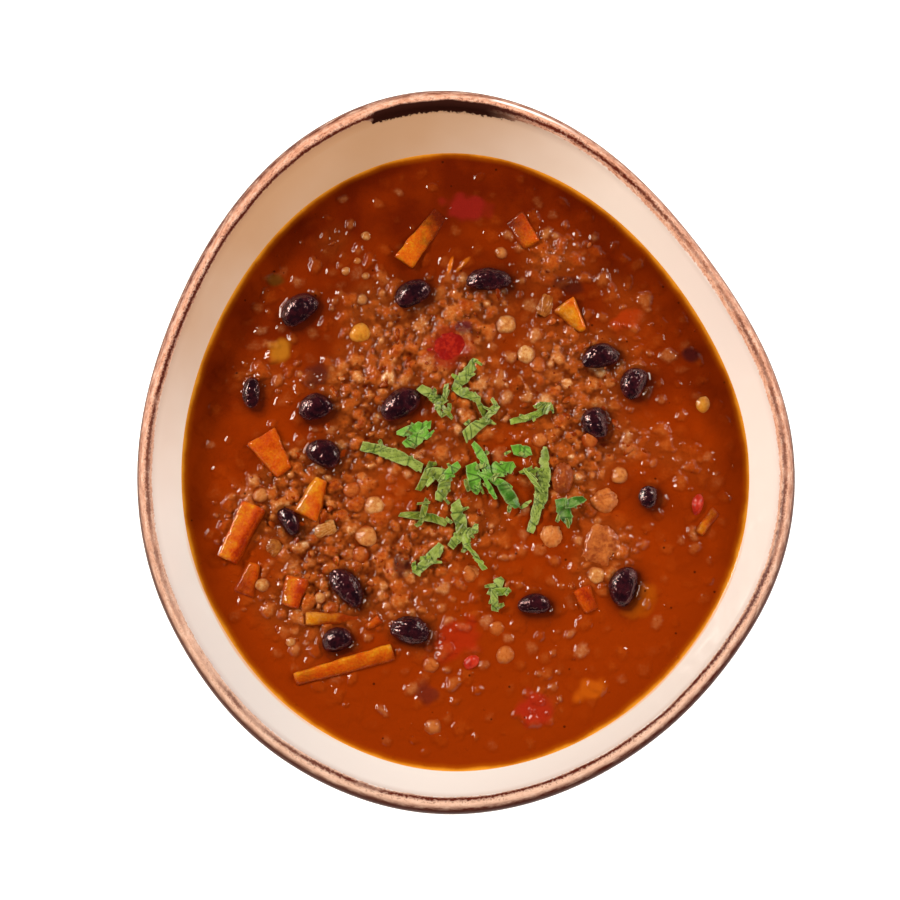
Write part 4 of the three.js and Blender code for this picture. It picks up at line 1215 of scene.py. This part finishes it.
SCATTER_INPUTS = (
    ("Room", "NodeSocketString"),
    ("Gap", "NodeSocketFloat"),
    ("Density", "NodeSocketFloat"),
    ("Smallest", "NodeSocketFloat"),
    ("Largest", "NodeSocketFloat"),
    ("Stretch", "NodeSocketFloat"),
    ("Flatness", "NodeSocketFloat"),
    ("Sink", "NodeSocketFloat"),
    ("Tilt", "NodeSocketFloat"),
    ("Detail", "NodeSocketInt"),
    ("Relief", "NodeSocketFloat"),
    ("Relief size", "NodeSocketFloat"),
    ("Seed", "NodeSocketInt"),
    ("Material", "NodeSocketMaterial"),
)


def scatter_tree():
    """Geometry Nodes that lay rounded grains on the soup, each sunk, tilted and shaped by chance."""
    tree = bpy.data.node_groups.new("Scatter in soup", "GeometryNodeTree")
    tree.interface.new_socket("Soup", in_out="INPUT", socket_type="NodeSocketGeometry")
    for name, kind in SCATTER_INPUTS:
        tree.interface.new_socket(name, in_out="INPUT", socket_type=kind)
    tree.interface.new_socket("Grains", in_out="OUTPUT", socket_type="NodeSocketGeometry")
    node = partial(add, tree)
    given = node("NodeGroupInput").node.outputs
    room = node("GeometryNodeInputNamedAttribute", Name=given["Room"], data_type="FLOAT")
    points = node(
        "GeometryNodeDistributePointsOnFaces",
        Mesh=given["Soup"],
        Distance_Min=given["Gap"],
        Density_Max=given["Density"],
        Density_Factor=room,
        Seed=given["Seed"],
        distribute_method="POISSON",
    )
    position = node("GeometryNodeInputPosition")
    level = node("ShaderNodeSeparateXYZ", position, out="Z")
    points = node("GeometryNodeStoreNamedAttribute", Geometry=points, Name="water", Value=level)
    chance = node("FunctionNodeRandomValue", Seed=given["Seed"], data_type="FLOAT")
    points = node("GeometryNodeStoreNamedAttribute", Geometry=points, Name="shade", Value=chance)
    later = node("ShaderNodeMath", given["Seed"], 1.0, operation="ADD")
    draw = node("FunctionNodeRandomValue", Seed=later, data_type="FLOAT")
    draw = node("ShaderNodeMath", draw, 1.7, operation="POWER")
    size = node("ShaderNodeMapRange", draw, To_Min=given["Smallest"], To_Max=given["Largest"])
    thick = node("ShaderNodeMath", size, given["Flatness"], operation="MULTIPLY")
    sink = node("ShaderNodeMath", thick, given["Sink"], operation="MULTIPLY")
    sink = node("ShaderNodeMath", sink, -1.0, operation="MULTIPLY")
    down = node("ShaderNodeCombineXYZ", Z=sink)
    points = node("GeometryNodeSetPosition", Geometry=points, Offset=down)
    low = node("ShaderNodeMath", given["Tilt"], -1.0, operation="MULTIPLY")
    least = node("ShaderNodeCombineXYZ", X=low, Y=low)
    most = node("ShaderNodeCombineXYZ", X=given["Tilt"], Y=given["Tilt"], Z=2 * math.pi)
    tilt = node("FunctionNodeRandomValue", least, most, Seed=given["Seed"], data_type="FLOAT_VECTOR")
    longer = node("FunctionNodeRandomValue", 1.0, given["Stretch"], Seed=later, data_type="FLOAT")
    length = node("ShaderNodeMath", size, longer, operation="MULTIPLY")
    scale = node("ShaderNodeCombineXYZ", X=length, Y=size, Z=thick)
    ball = node("GeometryNodeMeshIcoSphere", Radius=1.0, Subdivisions=given["Detail"])
    grains = node(
        "GeometryNodeInstanceOnPoints", Points=points, Instance=ball, Rotation=tilt, Scale=scale
    )
    grains = node("GeometryNodeRealizeInstances", grains)
    inverse = node("ShaderNodeMath", 1.0, given["Relief size"], operation="DIVIDE")
    lumps = node("ShaderNodeTexNoise", Vector=position, Scale=inverse, Detail=2.0)
    lumps = node("ShaderNodeMath", lumps, 0.5, operation="SUBTRACT")
    lumps = node("ShaderNodeMath", lumps, given["Relief"], operation="MULTIPLY")
    normal = node("GeometryNodeInputNormal")
    offset = node("ShaderNodeVectorMath", normal, Scale=lumps, operation="SCALE")
    grains = node("GeometryNodeSetPosition", Geometry=grains, Offset=offset)
    water = node("GeometryNodeInputNamedAttribute", Name="water", data_type="FLOAT")
    above = node("ShaderNodeMath", level, water, operation="SUBTRACT")
    grains = node("GeometryNodeStoreNamedAttribute", Geometry=grains, Name="above", Value=above)
    grains = node("GeometryNodeSetMaterial", Geometry=grains, Material=given["Material"])
    node("NodeGroupOutput", grains)
    return tree


def scatter(base, tree, name, material, values):
    """Lays grains on a copy of the soup's skin and keeps them as one plain piece."""
    holder = new_holder(base.copy())
    modifier = holder.modifiers.new("Scatter", "NODES")
    modifier.node_group = tree
    values = {**values, "Material": material}
    for item in tree.interface.items_tree:
        if item.item_type == "SOCKET" and item.in_out == "INPUT" and item.name in values:
            modifier[item.identifier] = values[item.name]
    mesh = evaluated_mesh(holder)
    mesh.name = name
    finish_piece(mesh, name, material)


def joined_copy(node):
    """Copy of a CAD node's mesh with its loose triangles joined to faces of four sides."""
    shape = bmesh.new()
    shape.from_mesh(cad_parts[node].data)
    bmesh.ops.remove_doubles(shape, verts=shape.verts, dist=1e-6)
    bmesh.ops.join_triangles(
        shape,
        faces=shape.faces,
        angle_face_threshold=math.radians(50),
        angle_shape_threshold=math.radians(60),
    )
    mesh = bpy.data.meshes.new(node)
    shape.to_mesh(mesh)
    shape.free()
    return mesh


def finer_copy(node, modifiers, grow):
    """Finer copy of a CAD node, smoothed by modifiers and grown about its middle."""
    holder = new_holder(joined_copy(node))
    for kind, settings in modifiers:
        modifier = holder.modifiers.new(kind, kind)
        for key, value in settings.items():
            setattr(modifier, key, value)
    mesh = evaluated_mesh(holder)
    places = read_points(mesh, "co")
    middle = box_middle(places)
    place_points(mesh, middle + (places - middle) * grow)
    return mesh


def own_axes(places):
    """Places along the piece's length, across it towards the right, and up, from its own middle."""
    middle = box_middle(places)
    flat = places[:, :2] - middle[:2]
    _, directions = np.linalg.eigh(flat.T @ flat)
    aside = directions[:, 0] * (1 if directions[0, 0] >= 0 else -1)
    return np.stack([flat @ directions[:, 1], flat @ aside, places[:, 2] - middle[2]], -1), aside


def push_out(mesh, amount):
    """Moves each point along its normal by its own amount."""
    place_points(mesh, read_points(mesh, "co") + read_points(mesh, "normal") * amount[:, None])


# Modifiers for round and for cut pieces, with the growth that makes up for their shrinking
ROUNDED = ((("SUBSURF", {"levels": 3, "render_levels": 3}),), 1.06)
SMOOTHED = ("SMOOTH", {"factor": 0.5, "iterations": 9})
CUT = ((("REMESH", {"mode": "VOXEL", "voxel_size": 0.0004}), SMOOTHED), 1.02)


class Cut(NamedTuple):
    """Look of a carrot: tone of its left and right side, from red to pale, its extra width, the way
    in which it dips into the soup and how much."""

    left: float
    right: float
    widen: float
    dip: float
    lean: float = 0.13


CARROT_LOOKS = {
    "carrot_01": Cut(0.6, 0.5, 1.0, 60),
    "carrot_02": Cut(0.5, 0.35, 1.3, 215),
    "carrot_03": Cut(0.55, 0.05, 1.0, 340, 0.3),
    "carrot_04": Cut(0.8, 0.5, 1.5, 190),
    "carrot_05": Cut(0.5, 0.35, 1.25, 250),
    "carrot_06": Cut(0.6, 0.1, 1.15, 200),
    "carrot_07": Cut(0.65, 0.4, 1.0, 285),
    "carrot_08": Cut(1.0, 0.9, 1.3, 0),
    "carrot_09": Cut(0.5, 0.3, 1.0, 270),
    "carrot_10": Cut(0.75, 0.6, 1.4, 200),
    "carrot_11": Cut(0.5, 0.3, 1.0, 150),
    "carrot_12": Cut(0.8, 0.7, 1.0, 45),
    "carrot_13": Cut(0.3, 0.1, 1.0, 290),
}


class Soft(NamedTuple):
    """Look of a soft piece: its tone, share of its height, unevenness of its outline and folds."""

    tone: float = 0.5
    flat: float = 1.0
    ragged: float = 0.0
    folds: float = 0.0


SOFT_LOOKS = {
    "tomato_1": Soft(0.55, 0.3, 0.45),
    "tomato_2": Soft(0.7),
    "tomato_3": Soft(0.9),
    "chickpea_1": Soft(0.08, 1.0, 0.1, 0.0006),
    "chickpea_2": Soft(0.4, 0.9, 0.08, 0.0006),
    "chickpea_3": Soft(0.32, 0.6, 0.35, 0.0002),
    "chickpea_4": Soft(0.6, 1.0, 0.15, 0.0006),
    "chickpea_5": Soft(0.5, 0.8, 0.08, 0.0003),
    "onion_1": Soft(0.3, 0.6, 0.2),
    "onion_2": Soft(0.6, 0.6, 0.2),
    "onion_3": Soft(0.3, 0.6, 0.2),
}


def blade_sheet(blade, draw):
    """Points, faces, cut edges and the painted shade of the folds of one leaf blade, folded and ragged from
    the knife.
    """
    point_gap = 0.0003
    tooth_gap = 0.0009
    fold_gap = 0.0018
    fold_height = 0.0004
    cut_width = 0.0008
    start = np.add(blade.start, RIM_MIDDLE)
    run = np.subtract(blade.end, blade.start)
    length = math.hypot(*run)
    ahead = run / length
    aside = np.array([-ahead[1], ahead[0]])
    steps = max(10, int(length / point_gap))
    across_steps = 10
    along = np.linspace(0, 1, steps + 1)
    belly = np.sin(math.pi * along)
    taper = blade.ends[0] + (blade.ends[1] - blade.ends[0]) * along
    half = 0.42 * blade.width * (taper + (1 - taper) * belly)
    cut = draw.uniform(-0.5, 0.5, 2)
    sides = []
    for _ in range(2):
        knots = np.sort(draw.uniform(0, 1, max(4, int(length / tooth_gap))))
        ragged = np.interp(along, knots, draw.uniform(-1, 1, len(knots)))
        sides.append(half * (1 + (0.14 + 1.3 * blade.teeth) * ragged))
    folds = np.sort(draw.uniform(0.05, 0.95, max(2, int(length / fold_gap))))
    bends = np.interp(along, folds, draw.uniform(-1, 1, len(folds))) * fold_height
    lean = draw.uniform(-0.35, 0.35)
    keel = draw.uniform(-0.0005, 0.0005)
    slants = draw.uniform(-0.25, 0.25, len(folds))
    places = []
    edges = []
    crease_shades = []
    for j in range(across_steps + 1):
        share = 2 * j / across_steps - 1
        side = np.where(share < 0, sides[0], sides[1]) * share
        skew = (cut[0] * (1 - along) + cut[1] * along) * side
        shift = blade.bow * belly
        x = start[0] + ahead[0] * (along * length + skew) + aside[0] * (side + shift)
        y = start[1] + ahead[1] * (along * length + skew) + aside[1] * (side + shift)
        z = SOUP_LEVEL + blade.lift + bends + lean * side + keel * abs(share)
        places.append(np.stack([x, y, z], -1))
        ends = 1 - np.minimum(along, 1 - along) * length / cut_width
        edges.append(np.maximum(abs(share), np.clip(ends, 0, 1)))
        # Painted shade along each fold
        gap = np.abs(along[:, None] + slants * share - folds).min(1) * length
        crease_shades.append(0.85 * (1 - smooth_step(gap, 0.0001, 0.00045)))
    faces = grid_faces(across_steps + 1, steps + 1)
    return np.concatenate(places), faces, np.concatenate(edges), np.concatenate(crease_shades)


LEAF_TONES = {
    "sage": "#7E8E3A",
    "fresh": "#5C9628",
    "bright": "#7C922E",
    "olive": "#667016",
    "dark": "#2E640C",
}


class HARIRA_OT_bowl(bpy.types.Operator):
    """Make the glazed bowl with its painted rim"""

    bl_idname = "harira.bowl"
    bl_label = "Bowl"

    def execute(self, context):
        material = glaze_material(context.scene.harira_bowl)
        finish_piece(bowl_mesh(), "bowl_glazed", material, ["bowl"])
        return {"FINISHED"}


class HARIRA_OT_soup(bpy.types.Operator):
    """Make the soup's skin, its lentils and its grains"""

    bl_idname = "harira.soup"
    bl_label = "Soup"

    def execute(self, context):
        soup = context.scene.harira_soup
        places, values = soup_skin(soup)
        base = sheet_mesh(places, values)
        normals = read_points(base, "normal").reshape(places.shape)
        material = broth_material(soup)
        # The skin is laid in four quarters that keep the normals of the whole, so that no seam shows
        half = CELLS // 2
        for number, (row, column) in enumerate(((0, 0), (0, half), (half, 0), (half, half)), 1):
            part = np.s_[row : row + half + 1, column : column + half + 1]
            mesh = sheet_mesh(places[part], {key: value[part] for key, value in values.items()})
            finish_piece(mesh, f"soup_skin_{number}", material, ["soup"])
            mesh.normals_split_custom_set_from_vertices(normals[part].reshape(-1, 3))
        tree = scatter_tree()
        tones = (
            (0.0, linear("#7E300A")),
            (0.35, linear("#A04C18")),
            (0.65, linear("#B4642C")),
            (0.9, linear("#B87A40")),
            (1.0, linear("#C6965E")),
        )
        material = lentil_material("Lentil, boiled", soup, tones, 0.001)
        finish_piece(whole_lentils(), "lentils_whole", material)
        tones = (
            (0.0, linear("#6A2406")),
            (0.4, linear("#9A4614")),
            (0.72, linear("#AA5C2C")),
            (0.88, linear("#C08654")),
            (0.91, linear("#BE5A0C")),
            (0.97, linear("#982C08")),
            (0.99, linear("#5E4A0C")),
        )
        material = lentil_material("Lentil crumbs, boiled", soup, tones, 0.0005)
        crumbs = {
            "Room": "crumb_room",
            "Gap": soup.grain_gap,
            "Density": soup.grain_density,
            "Smallest": 0.0005,
            "Largest": 0.0014,
            "Stretch": 2.2,
            "Flatness": 0.6,
            "Sink": 0.7,
            "Tilt": 0.7,
            "Detail": 2,
            "Relief": 0.0011,
            "Relief size": 0.0011,
            "Seed": soup.seed + 1,
        }
        scatter(base, tree, "lentil_crumbs", material, crumbs)
        bits = {
            **crumbs,
            "Room": "bit_room",
            "Gap": soup.grain_gap * 0.4,
            "Density": soup.grain_density * 4,
            "Smallest": 0.00022,
            "Largest": 0.0007,
            "Detail": 1,
            "Relief": 0.0003,
            "Relief size": 0.0005,
            "Seed": soup.seed + 2,
        }
        scatter(base, tree, "lentil_bits", material, bits)
        bpy.data.meshes.remove(base)
        return {"FINISHED"}


class HARIRA_OT_beans(bpy.types.Operator):
    """Make the black beans"""

    bl_idname = "harira.beans"
    bl_label = "Black beans"

    def execute(self, context):
        food = context.scene.harira_food
        stops = ((0.2, tuple(food.bean)), (0.6, linear("#3A1218")), (1.0, linear("#74383C")))
        soup = context.scene.harira_soup
        plum = (1.0, 0.6, 0.58, 1.0)
        finish = Finish(
            0.0014, 0.0006, -0.0004, 0.6, gloss=0.03, sheen=0.7, tint=plum, skin=0.16, detail=1.0
        )
        material = food_material("Black bean, boiled", soup, stops, finish)
        wrinkled = ("black_bean_10", "black_bean_12", "black_bean_03")
        wrinkle_gap = 0.0014
        skin_tone = 0.32
        for node in [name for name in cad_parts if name.startswith("black_bean")]:
            mesh = finer_copy(node, *ROUNDED)
            places = read_points(mesh, "co")
            local, _ = own_axes(places)
            relief = 0.0005 * speckle(places, 0.007) + 0.0002 * speckle(places, 0.003)
            if node in wrinkled:
                bent = local[:, 1] + 0.0012 * speckle(places, 0.003)
                relief += 0.00009 * np.sin(bent / wrinkle_gap * 2 * math.pi)
            push_out(mesh, relief)
            store(mesh, "tone", "FLOAT", np.full(len(places), skin_tone))
            finish_piece(mesh, node + "_skin", material, [node])
        return {"FINISHED"}


class HARIRA_OT_carrots(bpy.types.Operator):
    """Make the cut carrots"""

    bl_idname = "harira.carrots"
    bl_label = "Carrots"

    def execute(self, context):
        food = context.scene.harira_food
        stops = (
            (0.0, linear("#8E2404")),
            (0.3, linear("#AE4204")),
            (0.55, tuple(food.carrot)),
            (0.8, tuple(food.gold)),
            (1.0, linear("#CA8A34")),
        )
        soup = context.scene.harira_soup
        finish = Finish(fine=0.0008, relief=0.0004, film=0.001, coat=0.8, soft=0.3, ripple=0.0001)
        material = food_material("Carrot, diced and boiled", soup, stops, finish)
        for node, look in CARROT_LOOKS.items():
            mesh = finer_copy(node, *CUT)
            places = read_points(mesh, "co")
            local, aside = own_axes(places)
            places[:, :2] += local[:, 1:2] * (look.widen - 1) * aside
            dip = math.radians(look.dip)
            away = (places - box_middle(places)) @ (math.cos(dip), math.sin(dip), 0)
            places[:, 2] -= look.lean * away
            place_points(mesh, places)
            push_out(mesh, 0.0004 * speckle(places, 0.005) + 0.0001 * speckle(places, 0.0016))
            share = smooth_step(local[:, 1], -0.0012, 0.0012)
            tone = look.left + (look.right - look.left) * share + 0.2 * speckle(places, 0.003)
            store(mesh, "tone", "FLOAT", tone)
            finish_piece(mesh, node + "_cut", material, [node])
        return {"FINISHED"}


def soft_mesh(node, slot, look):
    """Mesh of a soft piece, flattened, ragged and folded as it looks, with its tones."""
    mesh = finer_copy(node, *ROUNDED)
    places = read_points(mesh, "co")
    local, _ = own_axes(places)
    reach = np.abs(local).max(0)
    turn = np.arctan2(local[:, 1], local[:, 0])
    around = np.stack([np.cos(turn), np.sin(turn), np.full_like(turn, places[0, 0] * 300)], -1)
    uneven = 1 + look.ragged * (speckle(around, 0.7) + 0.6 * speckle(around + 4.0, 0.25))
    middle = box_middle(places)
    along = local[:, 0] / reach[0]
    # Onion is cut off square at its ends, and one end is wider
    if slot == "onion":
        uneven *= np.minimum(0.7 / np.maximum(np.abs(along), 0.7), 1) + 0.25 * along
    places[:, :2] = middle[:2] + (places[:, :2] - middle[:2]) * uneven[:, None]
    places[:, 2] = SOUP_LEVEL + (places[:, 2] - SOUP_LEVEL) * look.flat
    place_points(mesh, places)
    lumps = speckle(places, 0.004)
    grain = speckle(places, 0.0015)
    relief = 0.0004 * lumps + 0.00012 * grain
    tone = np.full(len(places), look.tone)
    # Chickpeas have larger lumps, less grain and mottled tones
    if slot == "chickpea":
        relief += 0.0002 * lumps - 0.00006 * grain
        tone += 0.15 * lumps + 0.05 * grain
    # Ribs fan out along the onion, 5.5 degrees apart
    if slot == "onion":
        fan = np.arctan2(local[:, 1] + 0.0003 * speckle(places, 0.003), local[:, 0] + 1.7 * reach[0])
        ribs = np.sin(fan / math.radians(5.5) * 2 * math.pi)
        relief += 0.00006 * ribs
        tone += 0.08 * ribs + 0.35 * smooth_step(along, 0.7, 1.0)
    # Dark folds of loose skin, mostly at the far side: sunk in, and painted darker as shade in their
    # hollows
    upper = smooth_step((places[:, 1] - middle[1]) / reach[0], -0.3, 0.5)
    folds = np.abs(speckle(local * (0.35, 1.5, 0.5) + places[0, 0], 0.0022))
    folds = np.exp(-folds / 0.07) * (0.2 + 0.8 * upper)
    relief -= look.folds * folds
    tone -= 400 * look.folds * folds
    # Torn pieces are paler along the edge
    if look.ragged > 0.2:
        tone += 0.4 * smooth_step(np.hypot(along, local[:, 1] / reach[1]), 0.8, 1.0)
    push_out(mesh, relief)
    store(mesh, "tone", "FLOAT", tone)
    return mesh


class HARIRA_OT_soft(bpy.types.Operator):
    """Make the tomato, chickpeas, potato and onion"""

    bl_idname = "harira.soft"
    bl_label = "Soft pieces"

    def execute(self, context):
        food = context.scene.harira_food
        soup = context.scene.harira_soup
        finishes = {
            "tomato": ("Tomato, stewed", "#7A0606", "#B83018", -0.0014, 0.3),
            "chickpea": ("Chickpea, boiled in its skin", "#7E3614", "#CA8C52", -0.0002, 0.2),
            "potato": ("Potato, boiled", "#9A5610", "#CC9A48", 0.0, 0.3),
            "onion": ("Onion, softened", "#7A3A10", "#CC9C62", -0.0004, 0.3),
        }
        for slot, (name, low, high, film, soft) in finishes.items():
            stops = ((0.1, linear(low)), (0.5, tuple(getattr(food, slot))), (1.0, linear(high)))
            finish = Finish(relief=0.0002, film=film, coat=1.0, soft=soft)
            material = food_material(name, soup, stops, finish)
            for node in [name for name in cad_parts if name.startswith(slot)]:
                mesh = soft_mesh(node, slot, SOFT_LOOKS.get(node, Soft()))
                finish_piece(mesh, node + "_soft", material, [node])
        return {"FINISHED"}


class HARIRA_OT_coriander(bpy.types.Operator):
    """Make the chopped coriander"""

    bl_idname = "harira.coriander"
    bl_label = "Coriander"

    def execute(self, context):
        material = leaf_material()
        thickness = 0.00025
        draw = np.random.default_rng(context.scene.harira_soup.seed)
        for number, heap in enumerate(CORIANDER, 1):
            blades = []
            for order, blade in enumerate(heap):
                blades.append(blade._replace(lift=blade.lift + thickness * order))
                for _ in range(int(draw.integers(1, 4))):
                    blades.append(offcut(blade, draw))
            places, faces, edges, crease_shades = zip(*(blade_sheet(blade, draw) for blade in blades))
            counts = [len(sheet) for sheet in places]
            firsts = np.cumsum([0, *counts])
            faces = [quads + first for quads, first in zip(faces, firsts)]
            tones = np.repeat([linear(LEAF_TONES[blade.tone]) for blade in blades], counts, axis=0)
            node = f"coriander_{number:02d}"
            mesh = bpy.data.meshes.new(node)
            mesh.from_pydata(np.concatenate(places).tolist(), [], np.concatenate(faces).tolist())
            store(mesh, "tone", "FLOAT_COLOR", tones)
            store(mesh, "cut", "FLOAT", np.concatenate(edges))
            store(mesh, "crease", "FLOAT", np.concatenate(crease_shades))
            holder = new_holder(mesh)
            modifier = holder.modifiers.new("Thickness", "SOLIDIFY")
            modifier.thickness = thickness
            modifier.offset = 0
            finish_piece(evaluated_mesh(holder), node + "_leaf", material, [node])
        return {"FINISHED"}


def offcut(blade, draw):
    """A small cut bit that lies on a blade, turned by chance."""
    run = np.subtract(blade.end, blade.start)
    aside = np.array([-run[1], run[0]]) / math.hypot(*run) * blade.width * draw.uniform(-0.7, 0.7)
    middle = np.add(blade.start, run * draw.uniform(0.05, 0.95)) + aside
    turn = draw.uniform(0, 2 * math.pi)
    reach = draw.uniform(0.001, 0.0024)
    arm = np.array([math.cos(turn), math.sin(turn)]) * reach
    tone = str(draw.choice(["sage", "bright", "olive", blade.tone]))
    width = draw.uniform(0.0008, 0.002)
    ends = tuple(draw.uniform(0.4, 0.9, 2))
    return Blade(tuple(middle - arm), tuple(middle + arm), width, ends, tone, 0.2, 0.0, blade.lift + 0.0006)


class Lamp(NamedTuple):
    """A soft lamp: its direction and rise in degrees, distance, size, colour, and whether wet films
    mirror it."""

    name: str
    azimuth: float
    rise: float
    away: float
    size: tuple
    colour: tuple
    mirrored: bool


LAMPS = (
    Lamp("window_left", 154, 38, 1.3, (0.9, 0.2), (1.0, 0.91, 0.81), True),
    Lamp("window_right", 8, 40, 1.3, (1.2, 0.7), (1.0, 0.95, 0.91), False),
    Lamp("strip_right", 30, 36, 0.4, (0.14, 0.03), (1.0, 0.92, 0.82), True),
    Lamp("warm_fill", -125, 26, 1.5, (1.0, 1.0), (1.0, 0.82, 0.64), False),
)


class HARIRA_OT_stage(bpy.types.Operator):
    """Make the floor, the lights and the camera"""

    bl_idname = "harira.stage"
    bl_label = "Stage"

    def execute(self, context):
        stage = context.scene.harira_stage
        scene = context.scene
        material, node, shader = new_material("Studio floor, matte")
        place = node("ShaderNodeTexCoord", out="Object")
        grain = node("ShaderNodeTexNoise", Vector=place, Scale=3.0)
        stops = ((0.3, tuple(stage.floor)), (0.7, linear("#FAFAF9")))
        colour = node("ShaderNodeValToRGB", grain, stops=stops)
        join(shader, Base_Color=colour)
        fix(shader, Roughness=0.9, Emission_Color=(1, 1, 1, 1), Emission_Strength=0.45)
        mesh = bpy.data.meshes.new("floor")
        side = 3.0
        corners = [(-side, -side, 0), (side, -side, 0), (side, side, 0), (-side, side, 0)]
        mesh.from_pydata(corners, [], [(0, 1, 2, 3)])
        mesh.materials.append(material)
        floor = bpy.data.objects.new("floor", mesh)
        scene.collection.objects.link(floor)

        powers = (stage.left_power, stage.right_power, stage.strip_power, stage.fill_power)
        for lamp, power in zip(LAMPS, powers):
            light = bpy.data.lights.new(lamp.name, "AREA")
            light.shape = "ELLIPSE"
            light.size, light.size_y = lamp.size
            light.energy = power
            light.color = lamp.colour
            holder = bpy.data.objects.new(lamp.name, light)
            turn = math.radians(lamp.azimuth)
            climb = math.radians(lamp.rise)
            holder.location = (
                lamp.away * math.cos(climb) * math.cos(turn),
                lamp.away * math.cos(climb) * math.sin(turn),
                lamp.away * math.sin(climb),
            )
            holder.rotation_euler = (math.pi / 2 - climb, 0, turn + math.pi / 2)
            holder.visible_glossy = lamp.mirrored
            scene.collection.objects.link(holder)

        # Surroundings that darken overhead, and that wet films do not mirror
        world = bpy.data.worlds.new("Studio")
        world.use_nodes = True
        tree = world.node_tree
        tree.nodes.clear()
        way = add(tree, "ShaderNodeTexCoord", out="Generated")
        up = add(tree, "ShaderNodeSeparateXYZ", way, out="Z")
        sky = add(
            tree,
            "ShaderNodeValToRGB",
            up,
            stops=((0.0, (0.9, 0.9, 0.9, 1)), (0.55, (0.7, 0.7, 0.7, 1)), (0.95, (0.12, 0.12, 0.12, 1))),
        )
        light = add(tree, "ShaderNodeBackground", Color=sky, Strength=0.5)
        add(tree, "ShaderNodeOutputWorld", Surface=light)
        world.cycles_visibility.glossy = False
        scene.world = world
        scene.view_settings.view_transform = "Standard"

        # The photo's camera: half of its width and its focal length in pixels
        half_width = 450
        focal_length = 2923
        camera = bpy.data.cameras.new("camera")
        camera.angle = 2 * math.atan(half_width / focal_length)
        eye = bpy.data.objects.new("camera", camera)
        eye.location = (-0.00534, -0.16727, 0.99608)
        eye.rotation_euler = (math.radians(10), 0, 0)
        scene.collection.objects.link(eye)
        scene.camera = eye
        return {"FINISHED"}


OPERATORS = (
    HARIRA_OT_bowl,
    HARIRA_OT_soup,
    HARIRA_OT_beans,
    HARIRA_OT_carrots,
    HARIRA_OT_soft,
    HARIRA_OT_coriander,
    HARIRA_OT_stage,
)


class HARIRA_PT_panel(bpy.types.Panel):
    """Lists the pieces and their settings"""

    bl_idname = "HARIRA_PT_panel"
    bl_label = "Bowl of harira"
    bl_space_type = "VIEW_3D"
    bl_region_type = "UI"
    bl_category = "Harira"

    def draw(self, context):
        for operator in OPERATORS:
            self.layout.operator(operator.bl_idname)
        for name in SETTINGS:
            group = getattr(context.scene, name)
            box = self.layout.box()
            for key in group.__annotations__:
                box.prop(group, key)


SETTINGS = {
    "harira_bowl": BowlSettings,
    "harira_soup": SoupSettings,
    "harira_food": FoodSettings,
    "harira_stage": StageSettings,
}


def register():
    for group in SETTINGS.values():
        bpy.utils.register_class(group)
    for operator in OPERATORS:
        bpy.utils.register_class(operator)
    bpy.utils.register_class(HARIRA_PT_panel)
    for name, group in SETTINGS.items():
        setattr(bpy.types.Scene, name, bpy.props.PointerProperty(type=group))


def unregister():
    for name in SETTINGS:
        delattr(bpy.types.Scene, name)
    bpy.utils.unregister_class(HARIRA_PT_panel)
    for operator in reversed(OPERATORS):
        bpy.utils.unregister_class(operator)
    for group in reversed(SETTINGS.values()):
        bpy.utils.unregister_class(group)


def main():
    register()
    bpy.ops.harira.bowl()
    bpy.ops.harira.soup()
    bpy.ops.harira.beans()
    bpy.ops.harira.carrots()
    bpy.ops.harira.soft()
    bpy.ops.harira.coriander()
    bpy.ops.harira.stage()


if __name__ == "__main__":
    main()
